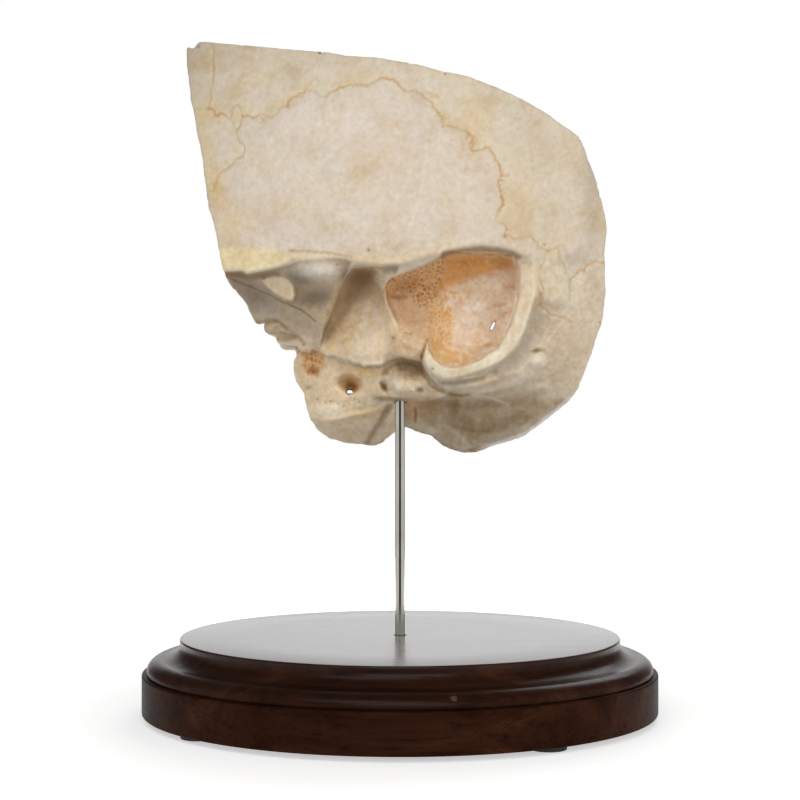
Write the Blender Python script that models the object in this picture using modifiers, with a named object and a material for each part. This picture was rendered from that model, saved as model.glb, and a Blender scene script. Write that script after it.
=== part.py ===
"""Left half of a human skull, cut for teaching, on a steel rod in a turned wooden plinth.

Metres, +Z up. The origin is the middle of the plinth on the plane its feet stand on.
+X runs to the back of the head, +Y from the left side of the head to its middle plane.
"""
import math

import bpy
import bmesh
from mathutils import Matrix, Vector

# Plinth and its feet
PLINTH_RADIUS = 0.067
PLINTH_THICKNESS = 0.0192
PLINTH_TOP_RADIUS = 0.0573
PLINTH_SIDE_HEIGHT = 0.0103
PLINTH_GROOVE_DEPTH = 0.0012
PLINTH_LIP_HEIGHT = 0.0022
PLINTH_COVE_DEPTH = 0.0010
FOOT_RADIUS = 0.0045
FOOT_HEIGHT = 0.0015
FOOT_EDGE_INSET = 0.007
FOOT_FIRST_ANGLE = math.radians(-54.5)
FOOT_COUNT = 4

# Steel rod and the holes that it stands in and carries
ROD_RADIUS = 0.00125
ROD_TIP_CHAMFER = 0.0004
ROD_SOCKET_DEPTH = 0.0130
ROD_FREE_LENGTH = 0.0620
BONE_BORE_DEPTH = 0.0180
RUNNING_CLEARANCE = 0.0003
TOUCH_GAP = 0.0003

# Bone specimen: its box, and the thicknesses that are set by themselves
SPECIMEN_LENGTH = 0.110
SPECIMEN_DEPTH = 0.070
SPECIMEN_HEIGHT = 0.110
LATERAL_REACH = 0.030
VAULT_WALL = 0.0055
SUTURE_GAP = 0.0003
CUT_OVERRUN = 0.030
CUT_REACH = 0.220
SCULPT_VOXEL = 0.0022
UNDERSIDE_DROP = 0.0162

# Places are shares of the specimen's length, depth and height: back, inward and upward
VAULT_SHARES = ((0.055, 1.0, 0.577), (0.827, 0.957, 0.727))
BASE_LUMP_SHARES = {
    "mastoid": ((0.164, 0.286, 0.323), (0.200, 0.193, 0.164)),
    "petrous_middle": ((-0.055, 0.629, 0.273), (0.118, 0.186, 0.105)),
    "petrous_apex": ((-0.191, 0.829, 0.245), (0.091, 0.157, 0.082)),
    "jugular_process": ((0.009, 0.514, 0.214), (0.109, 0.186, 0.073)),
    "condyle_neck": ((-0.082, 0.657, 0.168), (0.109, 0.171, 0.082)),
    "condyle": ((-0.127, 0.757, 0.100), (0.100, 0.107, 0.073)),
    "tympanic_plate": ((-0.082, 0.400, 0.295), (0.100, 0.086, 0.082)),
    "joint_tubercle": ((-0.282, 0.257, 0.405), (0.041, 0.071, 0.032)),
}
# Bone that only thickens the wall from inside, behind the drilled mastoid and the ear canal
INNER_LUMP_SHARES = {
    "mastoid_wall": ((0.164, 0.229, 0.345), (0.200, 0.243, 0.182)),
    "canal_wall": ((0.055, 0.329, 0.350), (0.155, 0.257, 0.164)),
}
PETROUS_SHARES = ((0.136, 0.286, 0.341), (-0.245, 0.900, 0.259))
PETROUS_RADII = (0.0160, 0.0100)
CLIVUS_SHARES = ((-0.091, 0.971, 0.141), (-0.300, 0.971, 0.277))
CLIVUS_RADIUS = 0.0065
FORAMEN_MAGNUM_SHARES = ((0.055, 1.014, 0.100), (0.155, 0.186, 0.300))
ROOT_BAR_SHARES = ((-0.400, 0.257, 0.464), (-0.045, 0.086, 0.464))
ROOT_BAR_RADIUS = 0.0036
EMINENCE_SHARES = ((-0.136, 0.171, 0.423), (-0.177, 0.400, 0.295))
EMINENCE_RADIUS = 0.0040
EAR_HOLLOW_SHARES = {
    "mastoid_bowl": ((0.173, 0.114, 0.345), (0.123, 0.286, 0.136)),
    "ear_canal": ((0.009, 0.143, 0.373), (0.068, 0.257, 0.068)),
}
# Side profile of the underside, in length and height: its front, then the arc it climbs by
UNDERSIDE_FRONT_SHARES = (
    (-1.000, 0.075), (0.011, 0.075), (0.079, 0.052), (0.105, 0.030), (0.145, 0.010),
)
UNDERSIDE_ARC_SHARES = ((0.109, 0.414), (0.424, 0.414))
UNDERSIDE_ARC_START = math.radians(-80.0)
# Under the root bar, and under the mastoid, the base turns inward: lines in depth and height
INFRATEMPORAL_SHARES = (
    (-0.50, 0.464), (0.129, 0.464), (0.229, 0.423), (0.429, 0.332),
    (0.571, 0.277), (2.40, 0.182), (2.40, -0.30), (-0.50, -0.30),
)
NUCHAL_SHARES = ((-0.50, 0.545), (0.771, 0.0), (0.771, -0.30), (-0.50, -0.30))
INFRATEMPORAL_BACK_SHARE = -0.018
BELOW_ALL_SHARE = -0.1
ABOVE_ALL_SHARE = 3.0
ROUGH_SHARE = 0.72
ROUGH_TOP_SHARE = 1.2

# How finely shapes are cut up and rounded off
UNDERSIDE_STEPS = 12
BALL_SEGMENTS = 40
BALL_RINGS = 24
BAR_STEPS = 4
ROUND_STEPS = 24
TURNED_STEPS = 64
BEAD_STEPS = 5
CASE_SMOOTHING_STEPS = 6
BLANK_SMOOTHING_STEPS = 2
CUTTER_SMOOTHING_STEPS = 1
SMOOTH_SHARE = 0.5
BLANK_DETAIL_SHARE = 0.22
MERGE_DISTANCE = SUTURE_GAP / 30
MITRE_LIMIT = 0.5

# Sawn edges and seams, as lists of places in length and height
FRONT_EDGE_SHARES = (
    (-0.519, 1.013), (-0.508, 0.917), (-0.495, 0.852), (-0.487, 0.822), (-0.479, 0.790),
    (-0.456, 0.672), (-0.448, 0.615), (-0.431, 0.558), (-0.421, 0.503), (-0.410, 0.448),
    (-0.385, 0.392), (-0.348, 0.337), (-0.317, 0.309), (-0.298, 0.299), (-0.287, 0.267),
    (-0.255, 0.268),
)
FRONTAL_EDGE_COUNT = 4
BASE_FRONT_SHARES = ((-0.260, 0.238), (-0.258, 0.190), (-0.255, 0.150))
TOP_EDGE_SHARES = (
    (-0.354, 0.979), (-0.233, 0.954), (-0.139, 0.934), (-0.047, 0.921), (0.045, 0.905),
    (0.140, 0.881), (0.227, 0.844), (0.295, 0.808), (0.364, 0.771), (0.411, 0.735),
    (0.440, 0.664), (0.464, 0.589),
)
BACK_EDGE_SHARES = ((0.430, 0.178), (0.445, 0.240), (0.462, 0.310), (0.474, 0.351))
CORONAL_SHARES = ((-0.442, 1.000), (-0.440, 0.909), (-0.438, 0.822))
WING_TOP_SHARE = (-0.371, 0.797)
SQUAMOUS_SHARES = (
    (-0.311, 0.790), (-0.258, 0.814), (-0.230, 0.846), (-0.127, 0.854), (-0.042, 0.876),
    (0.022, 0.847), (0.078, 0.806), (0.112, 0.759), (0.168, 0.730), (0.209, 0.689),
    (0.227, 0.650), (0.229, 0.582), (0.220, 0.544), (0.243, 0.508), (0.309, 0.498),
)
ASTERION_SHARE = (0.364, 0.491)
WING_BACK_SHARES = (
    (-0.379, 0.742), (-0.369, 0.706), (-0.409, 0.659), (-0.419, 0.615), (-0.404, 0.556),
    (-0.392, 0.500), (-0.378, 0.445), (-0.341, 0.405), (-0.236, 0.364), (-0.182, 0.309),
)
SUTURAL_FRONT_SHARES = ((0.324, 0.447), (0.322, 0.411), (0.334, 0.382))
SUTURAL_FOOT_SHARES = ((0.361, 0.331), (0.392, 0.331))
SUTURAL_BACK_SHARE = (0.398, 0.372)
SUTURAL_TOP_SHARES = ((0.399, 0.411), (0.386, 0.451))
LAMBDOID_SHARES = ((0.474, 0.460), (0.450, 0.459), (0.415, 0.435))
OCCIPITOMASTOID_SHARES = (
    (0.331, 0.292), (0.314, 0.253), (0.276, 0.189), (0.207, 0.159), (0.126, 0.159),
    (0.068, 0.177), (0.026, 0.211), (-0.030, 0.170), (-0.110, 0.136),
)

# Colours, one for each kind of material
WOOD_COLOUR = (0.045, 0.025, 0.017)
FOOT_COLOUR = (0.05, 0.05, 0.05)
STEEL_COLOUR = (0.62, 0.61, 0.59)
WOOD_ROUGHNESS = 0.3
FOOT_ROUGHNESS = 0.8
STEEL_ROUGHNESS = 0.25
BONE_ROUGHNESS = 0.6
SHARP_ANGLE = math.radians(35.0)
BONE_COLOURS = {
    "temporal_bone": (0.66, 0.56, 0.46), "parietal_bone": (0.72, 0.63, 0.50),
    "frontal_bone": (0.70, 0.60, 0.46), "sphenoid_bone": (0.68, 0.58, 0.44),
    "occipital_bone": (0.67, 0.57, 0.45), "sutural_bone": (0.70, 0.62, 0.52),
}


def remove_everything():
    for item in list(bpy.context.scene.objects):
        bpy.data.objects.remove(item, do_unlink=True)


def collection(name):
    made = bpy.data.collections.new(name)
    bpy.context.scene.collection.children.link(made)
    return made


def material(name, colour, roughness, metallic):
    made = bpy.data.materials.new(name)
    made.use_nodes = True
    shader = made.node_tree.nodes["Principled BSDF"]
    shader.inputs["Base Color"].default_value = (*colour, 1.0)
    shader.inputs["Roughness"].default_value = roughness
    shader.inputs["Metallic"].default_value = metallic
    return made


def spot(shares):
    """The place in the specimen that shares of its length, depth and height give."""
    back, inward, upward = shares
    return Vector((
        back * SPECIMEN_LENGTH,
        inward * SPECIMEN_DEPTH - LATERAL_REACH,
        upward * SPECIMEN_HEIGHT + specimen_base(),
    ))


def specimen_base():
    """Height of the specimen's lowest point over the table."""
    return plinth_top() + ROD_FREE_LENGTH - UNDERSIDE_DROP


def plinth_top():
    return FOOT_HEIGHT + PLINTH_THICKNESS


def new_object(name, mesh, holder):
    made = bpy.data.objects.new(name, mesh)
    holder.objects.link(made)
    return made


def mesh_from(builder, name):
    """Run a function that fills an empty bmesh, and keep the result."""
    shape = bmesh.new()
    builder(shape)
    bmesh.ops.recalc_face_normals(shape, faces=shape.faces)
    mesh = bpy.data.meshes.new(name)
    shape.to_mesh(mesh)
    shape.free()
    return mesh


def ellipsoid(name, shares, holder):
    """A ball stretched to three radii, which are shares too."""
    centre, radii = shares
    size = Vector((
        radii[0] * SPECIMEN_LENGTH,
        radii[1] * SPECIMEN_DEPTH,
        radii[2] * SPECIMEN_HEIGHT,
    ))

    def build(shape):
        bmesh.ops.create_uvsphere(shape, u_segments=BALL_SEGMENTS, v_segments=BALL_RINGS,
                                  radius=1.0)
        bmesh.ops.scale(shape, vec=size, verts=shape.verts)
        bmesh.ops.translate(shape, vec=spot(centre), verts=shape.verts)

    return new_object(name, mesh_from(build, name), holder)


def bar(name, shares, radius, holder):
    """A round bar with flat ends between two places."""
    start, end = spot(shares[0]), spot(shares[1])
    curve = bpy.data.curves.new(name, "CURVE")
    curve.dimensions = "3D"
    curve.bevel_depth = radius
    curve.bevel_resolution = BAR_STEPS
    curve.use_fill_caps = True
    spline = curve.splines.new("POLY")
    spline.points.add(1)
    spline.points[0].co = (*start, 1.0)
    spline.points[1].co = (*end, 1.0)
    return mesh_of_curve(curve, name, Matrix(), holder)


def ridge(name, shares, radii, holder):
    """A three-sided taper between two places, with one edge up."""
    start, end = spot(shares[0]), spot(shares[1])
    way = end - start
    across = way.cross(Vector((0.0, 0.0, 1.0))).normalized()
    above = across.cross(way).normalized()

    def build(shape):
        bmesh.ops.create_cone(shape, cap_ends=True, segments=3, radius1=radii[0],
                              radius2=radii[1], depth=way.length)
        corner = next(iter(shape.verts)).co
        spin = math.pi / 2 - math.atan2(corner.y, corner.x)
        frame = Matrix((across, above, way.normalized())).transposed().to_4x4()
        place = Matrix.Translation((start + end) / 2) @ frame @ Matrix.Rotation(spin, 4, "Z")
        bmesh.ops.transform(shape, matrix=place, verts=shape.verts)

    return new_object(name, mesh_from(build, name), holder)


def mesh_of_curve(curve, name, matrix, holder):
    """Turn a curve into a closed mesh object that stands where the matrix puts it."""
    rough = new_object(name + "_curve", curve, holder)
    bpy.context.view_layer.update()
    evaluated = rough.evaluated_get(bpy.context.evaluated_depsgraph_get())
    mesh = bpy.data.meshes.new_from_object(evaluated)
    shape = bmesh.new()
    shape.from_mesh(mesh)
    bmesh.ops.remove_doubles(shape, verts=shape.verts, dist=MERGE_DISTANCE)
    bmesh.ops.transform(shape, matrix=matrix, verts=shape.verts)
    bmesh.ops.recalc_face_normals(shape, faces=shape.faces)
    shape.to_mesh(mesh)
    shape.free()
    bpy.data.objects.remove(rough, do_unlink=True)
    bpy.data.curves.remove(curve)
    return new_object(name, mesh, holder)


def prism(name, outline, low, high, across, holder):
    """A flat outline drawn out across the specimen, along Y, or along X if it is a depth section."""
    curve = bpy.data.curves.new(name, "CURVE")
    curve.dimensions = "2D"
    curve.fill_mode = "BOTH"
    curve.extrude = (high - low) / 2
    spline = curve.splines.new("POLY")
    spline.points.add(len(outline) - 1)
    for point, (first, second) in zip(spline.points, outline):
        point.co = (first, second, 0.0, 1.0)
    spline.use_cyclic_u = True
    middle = (low + high) / 2
    if across:
        matrix = Matrix.Translation((0.0, middle, 0.0)) @ Matrix.Rotation(math.pi / 2, 4, "X")
    else:
        stand = Matrix(((0, 0, 1, 0), (1, 0, 0, 0), (0, 1, 0, 0), (0, 0, 0, 1)))
        matrix = Matrix.Translation((middle, 0.0, 0.0)) @ stand
    return mesh_of_curve(curve, name, matrix, holder)


def settle(thing, kind=None, **values):
    """Add a modifier if one is named, then keep the shape that the object's modifiers give."""
    if kind:
        modifier = thing.modifiers.new(kind.lower(), kind)
        for key, value in values.items():
            setattr(modifier, key, value)
    bpy.context.view_layer.update()
    evaluated = thing.evaluated_get(bpy.context.evaluated_depsgraph_get())
    mesh = bpy.data.meshes.new_from_object(evaluated)
    thing.modifiers.clear()
    thing.data = mesh
    return thing


def combine(thing, tool, operation):
    settle(thing, "BOOLEAN", object=tool, operation=operation, solver="EXACT")
    return thing


def joined(name, things, holder):
    """One object that holds copies of several overlapping meshes."""
    shape = bmesh.new()
    for thing in things:
        shape.from_mesh(thing.data)
    mesh = bpy.data.meshes.new(name)
    shape.to_mesh(mesh)
    shape.free()
    return new_object(name, mesh, holder)


def sculpt(thing, steps):
    """Melt overlapping shapes into one skin, then round its joints so many times."""
    settle(thing, "REMESH", mode="VOXEL", voxel_size=SCULPT_VOXEL, adaptivity=0.0)
    settle(thing, "SMOOTH", factor=SMOOTH_SHARE, iterations=steps)
    return thing


def side_outline(shares):
    """An outline in length and height, in metres."""
    return [(spot((back, 0.0, up)).x, spot((back, 0.0, up)).z) for back, up in shares]


def depth_outline(shares):
    """An outline in depth and height, in metres."""
    return [(spot((0.0, inward, up)).y, spot((0.0, inward, up)).z) for inward, up in shares]


def underside_prism(holder):
    """All that lies above the underside, which curves up towards the back of the head."""
    (centre_back, centre_up), (radius_back, radius_up) = UNDERSIDE_ARC_SHARES
    shares = list(UNDERSIDE_FRONT_SHARES)
    for step in range(UNDERSIDE_STEPS + 1):
        angle = UNDERSIDE_ARC_START * (1 - step / UNDERSIDE_STEPS)
        shares.append((
            centre_back + radius_back * math.cos(angle),
            centre_up + radius_up * math.sin(angle),
        ))
    front = UNDERSIDE_FRONT_SHARES[0][0]
    shares += [(centre_back + radius_back, ABOVE_ALL_SHARE), (front, ABOVE_ALL_SHARE)]
    return prism("underside_prism", side_outline(shares), -CUT_REACH, CUT_REACH, True, holder)


def rough_block(holder):
    """More than the specimen's box on every side, to trim the vault before it is sculpted."""
    side = (
        (-ROUGH_SHARE, 0.0), (ROUGH_SHARE, 0.0),
        (ROUGH_SHARE, ROUGH_TOP_SHARE), (-ROUGH_SHARE, ROUGH_TOP_SHARE),
    )
    low = -SPECIMEN_DEPTH
    high = SPECIMEN_DEPTH - LATERAL_REACH + CUT_OVERRUN
    return prism("rough_block", side_outline(side), low, high, True, holder)


def brain_case(tools):
    """The closed outer form of vault and base, before anything is hollow."""
    vault = ellipsoid("vault", VAULT_SHARES, tools)
    combine(vault, underside_prism(tools), "INTERSECT")
    combine(vault, rough_block(tools), "INTERSECT")
    back = INFRATEMPORAL_BACK_SHARE * SPECIMEN_LENGTH
    front = prism("under_temple", depth_outline(INFRATEMPORAL_SHARES), -CUT_REACH, back,
                  False, tools)
    combine(vault, front, "DIFFERENCE")
    rear = prism("under_mastoid", depth_outline(NUCHAL_SHARES), back, CUT_REACH,
                 False, tools)
    combine(vault, rear, "DIFFERENCE")
    return sculpt(vault, CASE_SMOOTHING_STEPS)


def hollow(case, lumps, tools):
    """The brain's space: the case less its wall, with the petrous part left standing in it."""
    inner = joined("inner", [case], tools)
    settle(inner, "DISPLACE", strength=-VAULT_WALL, mid_level=0.0)
    sculpt(inner, BLANK_SMOOTHING_STEPS)
    solid = sculpt(joined("solid_base", lumps, tools), CUTTER_SMOOTHING_STEPS)
    return sculpt(combine(inner, solid, "DIFFERENCE"), BLANK_SMOOTHING_STEPS)


def bone_blank(tools):
    """The whole block of bone before its seams are cut."""
    case = brain_case(tools)
    lumps = [ellipsoid(name, shares, tools) for name, shares in BASE_LUMP_SHARES.items()]
    lumps.append(bar("clivus", CLIVUS_SHARES, CLIVUS_RADIUS, tools))
    lumps.append(ridge("petrous_ridge", PETROUS_SHARES, PETROUS_RADII, tools))
    inner = [ellipsoid(name, shares, tools) for name, shares in INNER_LUMP_SHARES.items()]
    space = hollow(case, lumps + inner, tools)
    lumps.append(bar("root_bar", ROOT_BAR_SHARES, ROOT_BAR_RADIUS, tools))
    lumps.append(bar("eminence", EMINENCE_SHARES, EMINENCE_RADIUS, tools))
    blank = sculpt(joined("blank", [case] + lumps, tools), BLANK_SMOOTHING_STEPS)
    combine(blank, space, "DIFFERENCE")
    combine(blank, ellipsoid("foramen_magnum", FORAMEN_MAGNUM_SHARES, tools), "DIFFERENCE")
    combine(blank, ear_hollow(tools), "DIFFERENCE")
    sculpt(blank, CUTTER_SMOOTHING_STEPS)
    settle(blank, "DECIMATE", ratio=BLANK_DETAIL_SHARE)
    return blank


def ear_hollow(tools):
    """The drilled mastoid and the opened ear canal as one smooth cutter."""
    shapes = [ellipsoid(name, shares, tools) for name, shares in EAR_HOLLOW_SHARES.items()]
    return sculpt(joined("ear_hollow", shapes, tools), CUTTER_SMOOTHING_STEPS)


def bone_outlines():
    """Every bone's outline in length and height, made of the seams that it shares."""
    front = list(FRONT_EDGE_SHARES)
    frontal_front, wing_front = front[:FRONTAL_EDGE_COUNT], front[FRONTAL_EDGE_COUNT - 1:]
    coronal, squamous = list(CORONAL_SHARES), list(SQUAMOUS_SHARES)
    wing_back, mastoid_seam = list(WING_BACK_SHARES), list(OCCIPITOMASTOID_SHARES)
    sutural_front, sutural_foot = list(SUTURAL_FRONT_SHARES), list(SUTURAL_FOOT_SHARES)
    lambdoid, sutural_top = list(LAMBDOID_SHARES), list(SUTURAL_TOP_SHARES)
    base_front = list(BASE_FRONT_SHARES)
    back = list(BACK_EDGE_SHARES)
    below = [(base_front[-1][0], BELOW_ALL_SHARE), (back[0][0], BELOW_ALL_SHARE)] + back
    sutural_foot_back = [sutural_foot[-1], SUTURAL_BACK_SHARE]
    return {
        "frontal_bone": frontal_front + coronal[::-1],
        "parietal_bone": coronal + [WING_TOP_SHARE] + squamous + [ASTERION_SHARE]
        + sutural_top[::-1] + lambdoid[::-1] + list(TOP_EDGE_SHARES)[::-1],
        "sphenoid_bone": wing_front + wing_back[::-1] + [WING_TOP_SHARE, coronal[-1]],
        "temporal_bone": [WING_TOP_SHARE] + wing_back + front[-1:] + base_front
        + mastoid_seam[::-1] + sutural_foot[:1] + sutural_front[::-1] + [ASTERION_SHARE]
        + squamous[::-1],
        "occipital_bone": base_front[-1:] + below + lambdoid + sutural_top[:1]
        + sutural_foot_back[::-1] + sutural_foot[:1] + mastoid_seam,
        "sutural_bone": [ASTERION_SHARE] + sutural_front + sutural_foot
        + [SUTURAL_BACK_SHARE] + sutural_top,
    }


def inset(outline, distance):
    """The outline with every side moved inward, its corners on the moved sides."""
    area = sum(a[0] * b[1] - b[0] * a[1] for a, b in zip(outline, outline[1:] + outline[:1]))
    side = 1.0 if area > 0 else -1.0
    result = []
    for index, corner in enumerate(outline):
        corner = Vector(corner)
        before = (corner - Vector(outline[index - 1])).normalized()
        after = (Vector(outline[(index + 1) % len(outline)]) - corner).normalized()
        normal_before = Vector((-before.y, before.x)) * side
        normal_after = Vector((-after.y, after.x)) * side
        middle = (normal_before + normal_after).normalized()
        reach = distance / max(middle.dot(normal_before), MITRE_LIMIT)
        result.append(tuple(corner + middle * reach))
    return result


def keep_largest(thing):
    """Drop crumbs that a cut leaves, and keep the one body with the most skin."""
    shape = bmesh.new()
    shape.from_mesh(thing.data)
    bmesh.ops.remove_doubles(shape, verts=shape.verts, dist=MERGE_DISTANCE)
    bmesh.ops.dissolve_degenerate(shape, edges=shape.edges, dist=MERGE_DISTANCE)
    left = set(shape.faces)
    bodies = []
    while left:
        body, waiting = set(), [left.pop()]
        while waiting:
            face = waiting.pop()
            body.add(face)
            for edge in face.edges:
                near = [other for other in edge.link_faces if other in left]
                left.difference_update(near)
                waiting.extend(near)
        bodies.append(body)
    bodies.sort(key=lambda body: sum(face.calc_area() for face in body))
    crumbs = [face for body in bodies[:-1] for face in body]
    bmesh.ops.delete(shape, geom=crumbs, context="FACES")
    bmesh.ops.triangulate(shape, faces=shape.faces)
    shape.to_mesh(thing.data)
    shape.free()
    return thing


def bone(name, outline, blank, bore, parts, tools):
    """One bone: what its outline, drawn out across the head, takes from the block."""
    made = joined(name, [blank], parts)
    middle_plane = SPECIMEN_DEPTH - LATERAL_REACH
    shape = inset(side_outline(outline), SUTURE_GAP / 2)
    cutter = prism(name + "_outline", shape, -CUT_REACH, middle_plane, True, tools)
    combine(made, cutter, "INTERSECT")
    combine(made, bore, "DIFFERENCE")
    keep_largest(made)
    finish(made, BONE_COLOURS[name], BONE_ROUGHNESS, 0.0)
    return made


def finish(thing, colour, roughness, metallic):
    thing.data.materials.clear()
    thing.data.materials.append(material(thing.name + "_finish", colour, roughness, metallic))
    thing.data.shade_smooth()
    thing.data.set_sharp_from_angle(angle=SHARP_ANGLE)


def cylinder(name, radius, low, high, holder):
    """An upright cylinder between two heights, on the plinth's axis."""
    def build(shape):
        bmesh.ops.create_cone(shape, cap_ends=True, segments=ROUND_STEPS, radius1=radius,
                              radius2=radius, depth=high - low)
        bmesh.ops.translate(shape, vec=(0.0, 0.0, (low + high) / 2), verts=shape.verts)

    return new_object(name, mesh_from(build, name), holder)


def turned(name, profile, parts):
    """A solid turned about the plinth's axis from a profile that runs down its outer side."""
    mesh = bpy.data.meshes.new(name)
    edges = [(index, index + 1) for index in range(len(profile) - 1)]
    mesh.from_pydata([(radius, 0.0, height) for radius, height in profile], edges, [])
    made = new_object(name, mesh, parts)
    modifier = made.modifiers.new("turn", "SCREW")
    modifier.steps = TURNED_STEPS
    modifier.render_steps = TURNED_STEPS
    modifier.use_merge_vertices = True
    modifier.merge_threshold = MERGE_DISTANCE
    return settle(made)


def plinth_profile():
    """From the middle of the socket's floor, over the moulded edge, to the underside."""
    top, bottom = plinth_top(), FOOT_HEIGHT
    socket = ROD_RADIUS + RUNNING_CLEARANCE
    lip = top - PLINTH_LIP_HEIGHT
    shoulder = bottom + PLINTH_SIDE_HEIGHT
    bead_radius = PLINTH_RADIUS - PLINTH_GROOVE_DEPTH
    bead_foot = shoulder + PLINTH_GROOVE_DEPTH
    profile = [(0.0, top - ROD_SOCKET_DEPTH), (socket, top - ROD_SOCKET_DEPTH), (socket, top)]
    profile += [(PLINTH_TOP_RADIUS, top), (PLINTH_TOP_RADIUS, lip)]
    start = PLINTH_TOP_RADIUS + PLINTH_COVE_DEPTH
    for step in range(BEAD_STEPS + 1):
        angle = step / BEAD_STEPS * math.pi / 2
        profile.append((
            start + (bead_radius - start) * math.sin(angle),
            bead_foot + (lip - PLINTH_COVE_DEPTH - bead_foot) * math.cos(angle),
        ))
    profile += [(bead_radius, shoulder), (PLINTH_RADIUS, shoulder)]
    profile += [(PLINTH_RADIUS, bottom), (0.0, bottom)]
    return profile


def plinth(parts):
    made = turned("plinth", plinth_profile(), parts)
    finish(made, WOOD_COLOUR, WOOD_ROUGHNESS, 0.0)


def feet(parts):
    for index in range(FOOT_COUNT):
        name = "foot_%d" % (index + 1)
        made = cylinder(name, FOOT_RADIUS, 0.0, FOOT_HEIGHT - TOUCH_GAP, parts)
        angle = FOOT_FIRST_ANGLE - index * 2 * math.pi / FOOT_COUNT
        reach = PLINTH_RADIUS - FOOT_EDGE_INSET
        made.location = (reach * math.cos(angle), reach * math.sin(angle), 0.0)
        finish(made, FOOT_COLOUR, FOOT_ROUGHNESS, 0.0)


def rod(parts):
    low = plinth_top() - ROD_SOCKET_DEPTH + TOUCH_GAP
    made = cylinder("support_rod", ROD_RADIUS, low, rod_tip(), parts)
    modifier = made.modifiers.new("tip", "BEVEL")
    modifier.width = ROD_TIP_CHAMFER
    modifier.segments = 1
    modifier.limit_method = "ANGLE"
    settle(made)
    finish(made, STEEL_COLOUR, STEEL_ROUGHNESS, 1.0)


def rod_tip():
    return plinth_top() + ROD_FREE_LENGTH + BONE_BORE_DEPTH - TOUCH_GAP


def rod_bore(tools):
    """The blind hole in the bone for the rod."""
    return cylinder("rod_bore", ROD_RADIUS + RUNNING_CLEARANCE, plinth_top(),
                    rod_tip() + TOUCH_GAP, tools)


def main():
    remove_everything()
    parts = collection("mounted_skull_specimen")
    tools = collection("shaping_tools")
    blank = bone_blank(tools)
    bore = rod_bore(tools)
    for name, outline in bone_outlines().items():
        bone(name, outline, blank, bore, parts, tools)
    plinth(parts)
    feet(parts)
    rod(parts)
    for thing in tools.objects:
        thing.hide_render = True
        thing.display_type = "WIRE"


main()
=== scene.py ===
"""Looks of the mounted half skull: carved bone, a polished steel rod and a lacquered plinth.

Bone sizes are in millimetres and everything else in metres, both in the row's frame. The bone's
outer side is laid out in a plan: the places of its features in the photograph's frame, 800 units
wide, each with the depth that it lies at.
"""
import math

import bpy
import bmesh
import numpy as np
import openvdb
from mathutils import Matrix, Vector


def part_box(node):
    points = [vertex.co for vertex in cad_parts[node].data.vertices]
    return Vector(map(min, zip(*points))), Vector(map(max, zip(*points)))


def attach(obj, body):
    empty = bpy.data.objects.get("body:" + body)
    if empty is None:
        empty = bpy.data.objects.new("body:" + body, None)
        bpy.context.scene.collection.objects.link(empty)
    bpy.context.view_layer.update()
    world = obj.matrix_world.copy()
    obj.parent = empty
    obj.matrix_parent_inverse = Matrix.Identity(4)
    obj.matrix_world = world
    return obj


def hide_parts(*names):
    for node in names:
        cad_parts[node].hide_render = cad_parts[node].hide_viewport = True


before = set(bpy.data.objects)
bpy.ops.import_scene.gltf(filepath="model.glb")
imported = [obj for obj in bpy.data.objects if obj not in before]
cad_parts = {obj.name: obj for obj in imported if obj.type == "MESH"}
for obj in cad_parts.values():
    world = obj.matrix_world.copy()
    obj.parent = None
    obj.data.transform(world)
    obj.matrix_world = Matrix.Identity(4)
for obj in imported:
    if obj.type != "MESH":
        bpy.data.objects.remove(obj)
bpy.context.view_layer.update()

MM = 0.001

# Camera: it looks level along +Y, and stands this far in front of the rod (mm)
CAMERA_DISTANCE = 486.0
CAMERA_HEIGHT = 82.2
FOCAL_UNITS = 1857.0
PLAN_WIDTH = 800.0
AXIS_COLUMN = 400.5
AXIS_ROW = 400.0
SENSOR = 36.0

# The block of space that holds the bone (mm)
FINE_VOXEL = 0.42
VOXEL = FINE_VOXEL
MOST_TRIANGLES = 190000
LOW = np.array((-60.0, -33.0, 62.0))
HIGH = np.array((58.0, 42.0, 180.0))
COUNT = np.ceil((HIGH - LOW) / VOXEL).astype(int)
AXES = [LOW[axis] + VOXEL * np.arange(COUNT[axis], dtype=np.float32) for axis in range(3)]
X, Y, Z = AXES[0][:, None, None], AXES[1][None, :, None], AXES[2][None, None, :]
MIDDLE_PLANE = 40.0
BORE_RADIUS = 1.55
BORE_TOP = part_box("support_rod")[1].z / MM + 0.3

# The plan of the outer side, in the photograph's units
PLAN_LEFT, PLAN_TOP, PLAN_STEP = 176.0, 34.0, 0.5
PLAN_COUNT = (880, 860)
COLUMN = (PLAN_LEFT + PLAN_STEP * np.arange(PLAN_COUNT[0], dtype=np.float32))[:, None]
ROW = (PLAN_TOP + PLAN_STEP * np.arange(PLAN_COUNT[1], dtype=np.float32))[None, :]
# How much of the specimen a unit of the plan shows: on average, and at its ends (mm)
UNIT = 0.2555
UNIT_RANGE = (0.24, 0.29)
FAR = 12.0


# Plan drawing

def plan(value=0.0):
    """An even plan."""
    return np.full(PLAN_COUNT, value, np.float32)


def window(low, high):
    """Slices of the plan that cover a box."""
    start = [int(max(0, (low[i] - (PLAN_LEFT, PLAN_TOP)[i]) / PLAN_STEP)) for i in range(2)]
    end = [int(max(0, (high[i] - (PLAN_LEFT, PLAN_TOP)[i]) / PLAN_STEP + 2)) for i in range(2)]
    return slice(start[0], end[0]), slice(start[1], end[1])


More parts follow.
